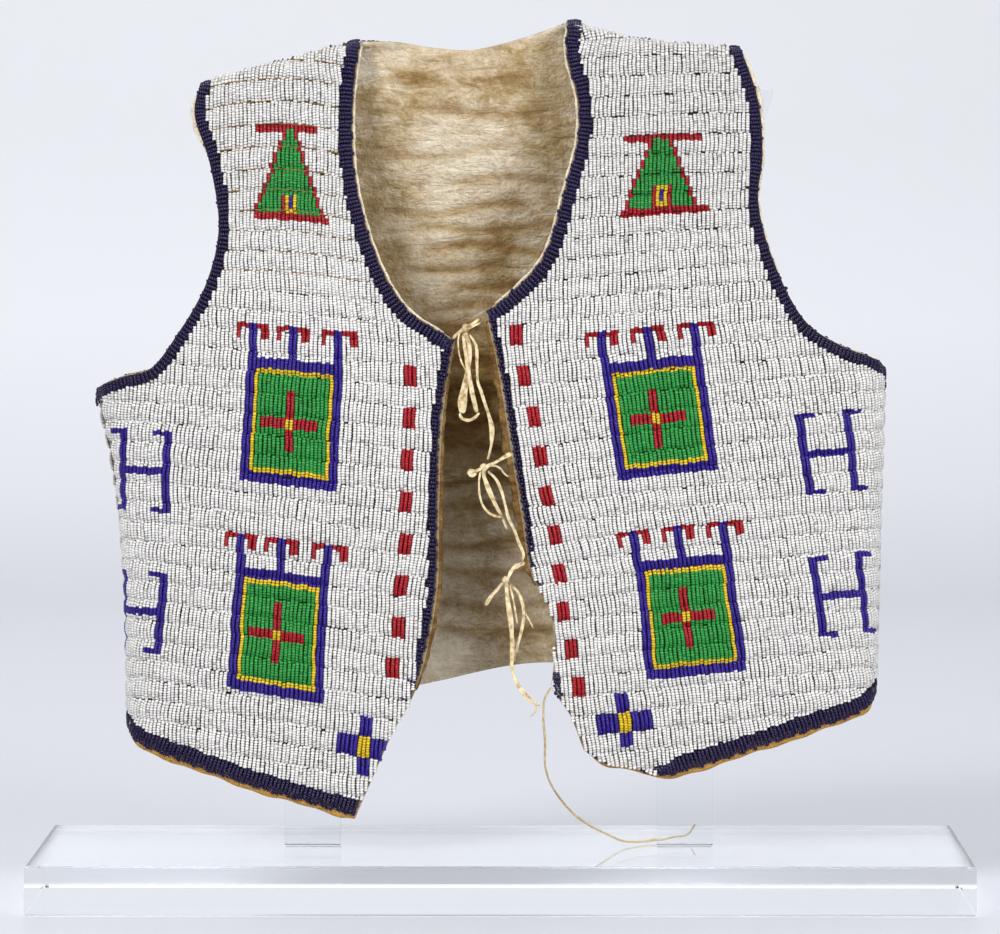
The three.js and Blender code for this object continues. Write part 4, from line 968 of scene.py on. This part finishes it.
def sew_front(side):
    borders, lane = run_x[side], LANES[side]
    heights = np.stack([lane_height(border, i, lane) for i, border in enumerate(borders)])
    places, lanes, runs = ends_of_runs(borders, heights, *lanes_and_runs(LANES_DOWN, len(RUN_NUMBERS)))
    squeeze = 0.985 - 0.045 * np.clip((places[1].mean(axis=1) - 235) / 60, 0, 1)
    seams = [(edges[side][kind], EDGE_CLEAR["seam"]) for kind in ("ridge", "side")]
    ends, height, keep = sew(places, lanes, squeeze, -1, front_loop(side), borders_of(side) + seams)
    rows = (lanes[:, None] * BEADS_PER_LANE + np.arange(BEADS_PER_LANE))
    index = charts[side][rows, runs[:, None]][keep]
    low = rows[keep] > np.median(rows[keep])
    radius = BEAD_RADIUS * rng.normal(1, 0.06, len(index))
    # Beads above 255 mm high are made darker towards the top, by up to 13 %.
    darkening = 1 - 0.13 * np.clip((height[:, None] - 255) / 50, 0, 1)
    colour, tip = tinted(index) * darkening, np.where(index == 0, TIP_LIT_CLEAN["white"], TIP_LIT_CLEAN["coloured"])
    for part, name in ((~low, "upper"), (low, "lower")):
        beads(f"{side}_front_beads_{name}", *(v[part] for v in (*ends, radius, colour)), "beadwork",
              [f"front_{side}"], tip=tip[part])
    print(side, "front has", len(index), "beads")


for side in LANES:
    sew_front(side)


# %% Threads between the lanes
THREAD = {"above": 262, "from": -140, "to": -44, "radius": 0.24, "step": 1.2, "lift": -0.6}


def add_threads(side):
    """On the shoulder the lanes part and the sinew shows as a thin line: a square tube along each border,
    as far as it lies between the edgings, whose radius swells with every run."""
    lane = LANES[side]
    x = np.arange(THREAD["from"], THREAD["to"], THREAD["step"])
    borders = [i for i in range(1, LANES_DOWN) if lane_height(x.mean(), i, lane) > THREAD["above"]]
    z = np.stack([lane_height(x, i, lane) for i in borders])
    x = np.broadcast_to(x, z.shape)
    spots = np.stack([x, z], axis=-1).reshape(-1, 2)
    ok = inside(spots, front_loop(side))
    ok[ok] = clear_of(spots[ok], -1, borders_of(side) + [(edges[side]["ridge"], 1.5)])
    ok = ok.reshape(z.shape)
    centre, normal = surface(x, z + 0.15 * np.sin(x * 1.3), -1, THREAD["lift"])
    down = np.array([0.0, 0.0, -1.0])
    swell = THREAD["radius"] * (1 + 0.35 * np.sin(x * 3.6))[..., None]
    ring = np.stack([centre + normal * swell, centre + down * swell, centre - normal * swell,
                     centre - down * swell], axis=2)
    quads = grid_quads(len(x[0]), 4, closed=True)
    both = ok[:, :-1] & ok[:, 1:]
    tubes = quads.reshape(-1, 4, 4)
    faces = [tubes[seen].reshape(-1, 4) + i * x.shape[1] * 4 for i, seen in enumerate(both)]
    return mesh_piece(f"{side}_front_threads", ring.reshape(-1, 3), np.vstack(faces), "thong",
                      [f"front_{side}"], point_values={"dark": np.ones(ring.size // 3)})


print(add_threads("left").name)

# %% [markdown]
# ## The back's beads
# The back is sewn the same way, in level lanes. It is farther from the eye, so its beads have one facet
# fewer.

# %% Sew the back
BACK = {"top": 372, "pitch": 9.0, "spacing": 1.78, "lanes": 34, "middle": -4, "squeeze": 0.98}
BACK_REACH = 115
BACK_CLEAR = {"ridge": 0.5, "side": 0.5, "armhole": 5.35, "neck": 6.35, "hem": 7.85}


def sew_back():
    """Lane borders are level. Runs step along each border from the body's middle line."""
    numbers = np.arange(-BACK_REACH, BACK_REACH + 1)
    levels = BACK["top"] - BACK["pitch"] * np.arange(BACK["lanes"] + 1)
    borders = []
    for level in levels:
        x = np.linspace(*side_x(level), 2000)
        z = np.full_like(x, level)
        borders.append(runs_on_border(x, z, 1, BACK["middle"], numbers, BACK["spacing"]))
    heights = np.repeat(levels[:, None], len(numbers), axis=1)
    lanes, runs = lanes_and_runs(BACK["lanes"], len(numbers))
    places, lanes, _ = ends_of_runs(np.array(borders), heights, lanes, runs)
    left, right = edges["left"], edges["right"]
    loop = np.vstack([left["ridge"], back_edges["neck"], right["ridge"][::-1], right["armhole"][::-1],
                      right["side"][::-1], back_edges["hem"][::-1], left["side"], left["armhole"]])
    limits = [({**e, **back_edges}[kind], apart)
              for e in (left, right) for kind, apart in BACK_CLEAR.items()]
    squeeze = np.full(len(lanes), BACK["squeeze"])
    ends, _, keep = sew(places, lanes, squeeze, 1, loop, limits)
    which = np.broadcast_to(lanes[:, None], keep.shape)[keep]
    radius = BEAD_RADIUS * rng.normal(1, 0.035, len(which))
    colour = tinted(np.zeros(len(which), int))
    thirds = np.digitize(which, np.quantile(which, [1 / 3, 2 / 3]))
    for number in range(3):
        part = thirds == number
        beads(f"back_beads_{number + 1}", *(v[part] for v in (*ends, radius, colour)), "beadwork", ["back"],
              TIP_LIT_CLEAN["back"], segments=2)
    print("back has", len(which), "beads")


sew_back()

# %% [markdown]
# ## Edgings
# Every cut edge is bound with very dark blue beads. Here the threads run across the edge, so the beads
# lie in short rows, like rungs, and the outermost bead rolls over the hide's rim. In places the hide's own
# edge shows beyond them: cream beside the neck and armholes, brown beside the opening.

# %% Bind the edges
BEAD_LENGTH = 1.12
RUNG_STEP = 1.76
TURN = {"left": -1, "right": 1}  # which way is inwards from a front's edges


def edging(name, line, face, width, first, replaces, span=(0, 1), inward_sign=1, lift=0.0):
    """Rungs at equal steps along an edge. A rung's joints go inwards from the rim, by equal steps along the
    cloth, over a low arch: most of half a sine wave. Two sine waves shift the rungs in and out a little."""
    points, normals = surface(line[:, 0], line[:, 1], face)
    length = line_length(points)
    count = int(length / RUNG_STEP)
    where = (np.arange(count) + 0.5) / count
    where = where[(where >= span[0]) & (where <= span[1])]
    steps = np.linspace(0, 1, len(line))

    def at(values):
        return np.stack([np.interp(where, steps, values[:, k]) for k in range(values.shape[1])], axis=1)

    spot, normal = at(points), unit(at(normals))
    tangent = unit(at(np.gradient(points, axis=0)))
    inward = unit(np.cross(normal, tangent)) * inward_sign
    beads_across = max(1, round((width - first) / BEAD_LENGTH))
    t = np.arange(beads_across + 1) / beads_across
    distance = first + (width - first) * t
    arch = 0.95 * np.sin(np.pi * (0.12 + 0.76 * t)) - 0.62
    ring = (spot[:, None] + inward[:, None] * distance[None, :, None]
            + normal[:, None] * (arch - BEAD_RADIUS * 0.9 + lift)[None, :, None])
    ring += tangent[:, None] * rng.normal(0, 0.09, (len(spot), 1, 1))
    along = np.linspace(0, length, len(spot))
    scallop = 0.38 * np.sin(along / 1.25 + 1.3 * np.sin(along / 11)) + rng.normal(0, 0.2, len(spot))
    ring += inward[:, None] * scallop[:, None, None]
    start, end = ring[:, :-1].reshape(-1, 3), ring[:, 1:].reshape(-1, 3)
    out = np.repeat(normal, beads_across, axis=0)
    colour = tinted(np.full(len(start), NAMES.index("navy")))
    radius = BEAD_RADIUS * rng.normal(1, 0.04, len(start))
    beads(name, start, end, out, radius, colour, "edging", replaces, TIP_LIT_CLEAN["edging"])
    print(name, "has", len(start), "beads")


def add_edgings():
    """Every edge of the fronts and the back, with two single corners and a wrap on the right front."""
    for side, turn in TURN.items():
        for kind, first in (("neck", 0.4), ("opening", 1.1), ("hem", 1.2), ("armhole", 0.4)):
            width, start, stop = EDGING[side][kind]
            node = "edge" if kind in ("neck", "opening") else kind
            edging(f"{side}_front_{kind}_edging", edges[side][kind], -1, width, first,
                   [f"front_{side}_edging_{node}"], (start, stop), turn)
    opening, hem = edges["right"]["opening"], edges["right"]["hem"]
    edging("right_front_lower_wrap", opening, -1, 3, 0.2, ["front_right_edging_edge"], (0.805, 0.87), 1, 0.9)
    edging("right_front_corner_1", hem, -1, 1.5, 0.3, ["front_right_edging_hem"], (0, 0.1), 1)
    edging("right_front_corner_2", hem, -1, 1.7, 0.3, ["front_right_edging_hem"], (0.14, 0.2), 1)
    for side in ("left", "right"):
        edging(f"back_{side}_armhole_edging", edges[side]["armhole"], 1, 5, 0.4,
               [f"back_edging_armhole_{side}"], inward_sign=-TURN[side])
    edging("back_neck_edging", back_edges["neck"], 1, 6, 1.8, ["back_edging_neck"])
    edging("back_hem_edging", back_edges["hem"], 1, 7.5, 1.5, ["back_edging_hem"], inward_sign=-1)


add_edgings()


# %% Bands of hide beyond the edgings
def hide_band(name, line, inward_sign, widths, stain_and_shade, replaces):
    """A flat strip behind an edge that stands out by three fifths of its width. widths has rows of the
    place along the edge, 0 to 1, and the width there."""
    t, (places, sizes) = np.linspace(0, 1, len(line)), zip(*widths)
    points, normals = surface(line[:, 0], line[:, 1], -1, -2.2)
    outward = -unit(np.cross(normals, unit(np.gradient(points, axis=0)))) * inward_sign
    width = np.interp(t, places, sizes) * (1 + 0.16 * np.sin(t * 90) + 0.1 * np.sin(t * 210))
    part = (t >= places[0]) & (t <= places[-1])
    rows = np.hstack([points + outward * 0.1 * width[:, None], width[:, None]])[part][::4]
    points, quads, _ = ribbon(rows, 0.8, sides=8, roll=0, turn=0.1)
    return mesh_piece(name, points, quads, "hide", replaces,
                      point_values={"stain_and_shade": np.full(len(points), stain_and_shade)})


for side, turn in TURN.items():
    e, node = edges[side], [f"front_{side}"]
    hide_band(f"{side}_neck_rim", e["neck"], turn, [(0.03, 1.2), (0.5, 1.5), (0.97, 1.3)], -0.5, node)
    hide_band(f"{side}_opening_band", e["opening"], turn,
              {"left": [(0.02, 1.2), (0.3, 2.6), (0.6, 2.8), (0.72, 0.8)],
               "right": [(0.02, 1.5), (0.12, 3.5), (0.3, 5), (0.5, 4.5), (0.62, 1.0)]}[side], 0.95, node)
    hide_band(f"{side}_armhole_rim", e["armhole"], turn,
              {"left": [(0.80, 0.8), (0.88, 3.2), (0.97, 1.4)],
               "right": [(0.40, 1.0), (0.7, 1.6), (0.9, 3.0), (0.98, 1.2)]}[side], -0.6, node)
print("hide bands sewn")

# %% [markdown]
# ## Finishes
# Glass beads are glossy and their colour comes from the bead, so the material reads each face's own
# colour, and a number on each point paints shade, with some dirt, between and under the beads. The hide
# is matt, with stains worked from noise in object coordinates, and painted shade in its creases and under
# the beads. Rawhide is smoother and a little waxy. The stand is clear acrylic.


# %% Build node trees
def put(tree, socket, value):
    """Give an input a link from another node, a number, a vector, or a colour of three parts."""
    if isinstance(value, bpy.types.NodeSocket):
        tree.links.new(value, socket)
    elif socket.type == "RGBA":
        socket.default_value = (*value, 1)
    else:
        socket.default_value = value


def put_all(tree, inputs, values):
    for key, value in values.items():
        put(tree, inputs[key], value)


def material(name):
    """A new material, its node tree and its shader's inputs."""
    made = bpy.data.materials.new(name)
    made.use_nodes = True
    return made, made.node_tree, made.node_tree.nodes["Principled BSDF"].inputs


def add_node(tree, kind, inputs=None, **settings):
    """A new node with its settings, and its inputs by name or number."""
    node = tree.nodes.new(f"ShaderNode{kind}")
    for key, value in settings.items():
        setattr(node, key, value)
    put_all(tree, node.inputs, inputs or {})
    return node


def object_place(tree):
    return add_node(tree, "TexCoord").outputs["Object"]


def attribute(tree, name, output="Fac"):
    return add_node(tree, "Attribute", attribute_name=name).outputs[output]


def noise(tree, place, **inputs):
    return add_node(tree, "TexNoise", {"Vector": place, **inputs}).outputs[0]


def multiply_add(tree, *values):
    return add_node(tree, "Math", dict(enumerate(values)), operation="MULTIPLY_ADD").outputs[0]


def mix(tree, blend, factor, a, b):
    return add_node(tree, "Mix", {0: factor, 6: a, 7: b}, data_type="RGBA", blend_type=blend).outputs[2]


def bump(tree, height, strength, distance):
    values = {"Height": height, "Strength": strength, "Distance": distance}
    return add_node(tree, "Bump", values).outputs[0]


def ramp(tree, value, stops):
    node = add_node(tree, "ValToRGB", {0: value})
    elements = node.color_ramp.elements
    while len(elements) < len(stops):
        elements.new(0.5)
    for element, (place, colour) in zip(elements, stops):
        element.position = place
        element.color = (*colour, 1)
    return node.outputs[0]


# %% Glass beads
def bead_glass():
    """The bead's own colour on top, and between and under the beads that colour times a brown: painted shade
    along with dirt.
    """
    made, tree, shader = material("glass_beads")
    colour = attribute(tree, "bead_colour", "Color")
    # Brown for painted shade with some dirt, mixed in where the number on each point is low.
    dirt_and_shade = ramp(tree, noise(tree, object_place(tree), Scale=38.0, Detail=3.0),
                [(0.35, (0.17, 0.125, 0.075)), (0.65, (0.26, 0.22, 0.17))])
    dark = mix(tree, "MULTIPLY", 1.0, colour, dirt_and_shade)
    put_all(tree, shader, {"Base Color": mix(tree, "MIX", attribute(tree, "lit_clean"), dark, colour),
                           "Roughness": 0.22, "Specular IOR Level": 0.3})
    return made


# %% Hide, rawhide and acrylic
def hide_suede():
    """Cream to brown by the stain and shade number, with patches and sideways streaks from noise. Painted
    shade darkens the creases and thin crinkle lines, and painted shade with some dirt makes the hide dark
    under the beads; below the hems it is golden."""
    made, tree, shader = material("suede_hide")
    place = object_place(tree)
    squashed = add_node(tree, "Mapping", {"Vector": place, "Scale": (1.0, 1.0, 3.2)}).outputs[0]
    patches = noise(tree, place, Scale=85.0, Detail=8.0, Roughness=0.7, Distortion=0.4)
    streaks = noise(tree, squashed, Scale=60.0, Detail=7.0, Roughness=0.65, Distortion=1.0)
    crinkles = noise(tree, place, Scale=170.0, Detail=7.0, Roughness=0.7, Distortion=0.5)
    grain = noise(tree, place, Scale=330.0, Detail=4.0, Roughness=0.7)
    fine = noise(tree, place, Scale=700.0, Detail=3.0)
    darkening = multiply_add(tree, patches, 1.7, attribute(tree, "stain_and_shade"))
    darkening = multiply_add(tree, streaks, 1.2, darkening)
    base = ramp(tree, multiply_add(tree, darkening, 0.5, -0.275),
                [(0.28, srgb(0.97, 0.92, 0.82)), (0.48, srgb(0.87, 0.79, 0.66)),
                 (0.63, srgb(0.74, 0.64, 0.46)), (0.80, srgb(0.62, 0.49, 0.27)),
                 (1.0, srgb(0.42, 0.28, 0.07))])
    # Painted shade along thin crinkle lines.
    fold = ramp(tree, crinkles, [(0.40, (1, 1, 1)), (0.47, (0.82, 0.8, 0.76)), (0.5, (0.55, 0.5, 0.42)),
                                 (0.53, (0.85, 0.83, 0.8)), (0.60, (1, 1, 1))])
    speckle = ramp(tree, grain, [(0.3, (0.66, 0.62, 0.55)), (0.52, (0.98, 0.97, 0.95)), (0.7, (1, 1, 1))])
    colour = mix(tree, "MULTIPLY", 0.22, base, fold)
    colour = mix(tree, "MULTIPLY", 0.6, colour, speckle)
    # Painted shade in the creases, mixed in by their depth.
    shade = mix(tree, "MULTIPLY", 1.0, colour, srgb(0.78, 0.69, 0.52))
    layers = {"crease": shade, "golden": srgb(0.78, 0.58, 0.24), "shade_and_dirt_under_beads": srgb(0.16, 0.12, 0.07)}
    for name, over in layers.items():
        colour = mix(tree, "MIX", attribute(tree, name), colour, over)
    height = mix(tree, "MIX", 0.5, streaks, crinkles)
    height = mix(tree, "MIX", 0.15, height, fine)
    put_all(tree, shader, {"Base Color": colour, "Roughness": 0.9,
                           "Normal": bump(tree, height, 1.0, 0.007)})
    return made


def rawhide():
    """Brown to cream by a fine noise, and browner where dark says so."""
    made, tree, shader = material("rawhide")
    streaks = noise(tree, object_place(tree), Scale=420.0, Detail=4.0, Roughness=0.6)
    base = ramp(tree, streaks, [(0.34, srgb(0.60, 0.48, 0.30)), (0.46, srgb(0.78, 0.69, 0.52)),
                                (0.64, srgb(0.89, 0.83, 0.68))])
    colour = mix(tree, "MIX", attribute(tree, "dark"), base, srgb(0.52, 0.40, 0.20))
    put_all(tree, shader, {"Base Color": colour, "Roughness": 0.5,
                           "Normal": bump(tree, streaks, 0.35, 0.0004)})
    return made


def clear_acrylic():
    """Glass of low tint. Light from lamps passes straight through, so that the stand casts almost no
    shadow."""
    made, tree, shader = material("clear_acrylic")
    put_all(tree, shader, {"Base Color": (0.965, 0.98, 0.99), "Transmission Weight": 1.0, "Roughness": 0.02,
                           "IOR": 1.49})
    through = add_node(tree, "BsdfTransparent", {"Color": (0.95, 0.965, 0.98)}).outputs[0]
    shadow = add_node(tree, "LightPath").outputs["Is Shadow Ray"]
    both = add_node(tree, "MixShader", {0: shadow, 1: tree.nodes["Principled BSDF"].outputs[0], 2: through})
    put(tree, tree.nodes["Material Output"].inputs["Surface"], both.outputs[0])
    return made


glass, acrylic = bead_glass(), clear_acrylic()
finishes = {"beadwork": glass, "edging": glass, "hide": hide_suede(), "thong": rawhide()}
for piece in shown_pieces():
    finish = finishes.get(piece.get("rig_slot"), acrylic)
    piece.data.materials.clear()
    piece.data.materials.append(finish)
    if finish is acrylic:
        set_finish(piece, "acrylic")

# %% [markdown]

# %% [markdown]
# ## Floor and light
# A pale floor sweeps up behind. The key lamp is up on the left and a weaker one lower on the right, a
# broad one hangs above the stand, and one lights the sweep behind it.

# %% Build the stage
def add_stage():
    """The sweep's profile is flat, then a quarter circle, then upright."""
    turn = np.linspace(0, np.pi / 2, 24)
    bend = np.stack([1.6 + 1.2 * np.sin(turn), 1.2 - 1.2 * np.cos(turn)], axis=1)
    profile = np.vstack([[-4, 0], bend, [2.8, 6]])
    x = np.array([-6.0, 6.0])
    points = np.array([[a, y, z] for y, z in profile for a in x]) - np.array([0, 0, 0.0004])
    mesh = bpy.data.meshes.new("floor")
    faces = [[2 * i, 2 * i + 1, 2 * i + 3, 2 * i + 2] for i in range(len(profile) - 1)]
    mesh.from_pydata(points.tolist(), [], faces)
    mesh.shade_smooth()
    floor = bpy.data.objects.new("floor", mesh)
    bpy.context.scene.collection.objects.link(floor)
    made, tree, shader = material("floor_paper")
    height = add_node(tree, "SeparateXYZ", {0: object_place(tree)}).outputs["Z"]
    # Painted shade and light: the paper is darker on the floor and lighter up the sweep.
    paper_with_painted_light = ramp(tree, height, [(0.0, srgb(0.81, 0.815, 0.84)), (0.06, srgb(0.865, 0.87, 0.89)),
                                (0.18, srgb(0.90, 0.905, 0.92)), (0.34, srgb(0.88, 0.885, 0.90))])
    put_all(tree, shader, {"Base Color": paper_with_painted_light, "Roughness": 0.35})
    mesh.materials.append(made)


def add_lamp(name, place, target, size, power):
    data = bpy.data.lights.new(name, "AREA")
    data.shape, (data.size, data.size_y), data.energy = "RECTANGLE", size, power
    lamp = bpy.data.objects.new(name, data)
    bpy.context.scene.collection.objects.link(lamp)
    lamp.location = place
    lamp.rotation_euler = (Vector(target) - Vector(place)).to_track_quat("-Z", "Y").to_euler()


add_stage()
add_lamp("key", (-1.2, -1.9, 1.7), (0, 0, 0.2), (0.8, 0.8), 50)
add_lamp("fill", (1.5, -1.7, 1.0), (0, 0, 0.2), (0.8, 0.8), 30)
add_lamp("top", (0, 0.4, 2.2), (0, 0.2, 0), (2.4, 1.6), 11)
add_lamp("backdrop", (-0.5, 0.9, 1.9), (-0.3, 2.8, 0.6), (1.8, 0.6), 12.5)
world = bpy.data.worlds.new("studio")
bpy.context.scene.world = world
world.use_nodes = True
put_all(world.node_tree, world.node_tree.nodes["Background"].inputs,
        {"Color": srgb(0.95, 0.96, 0.975), "Strength": 0.55})
bpy.context.scene.view_settings.view_transform = "Standard"
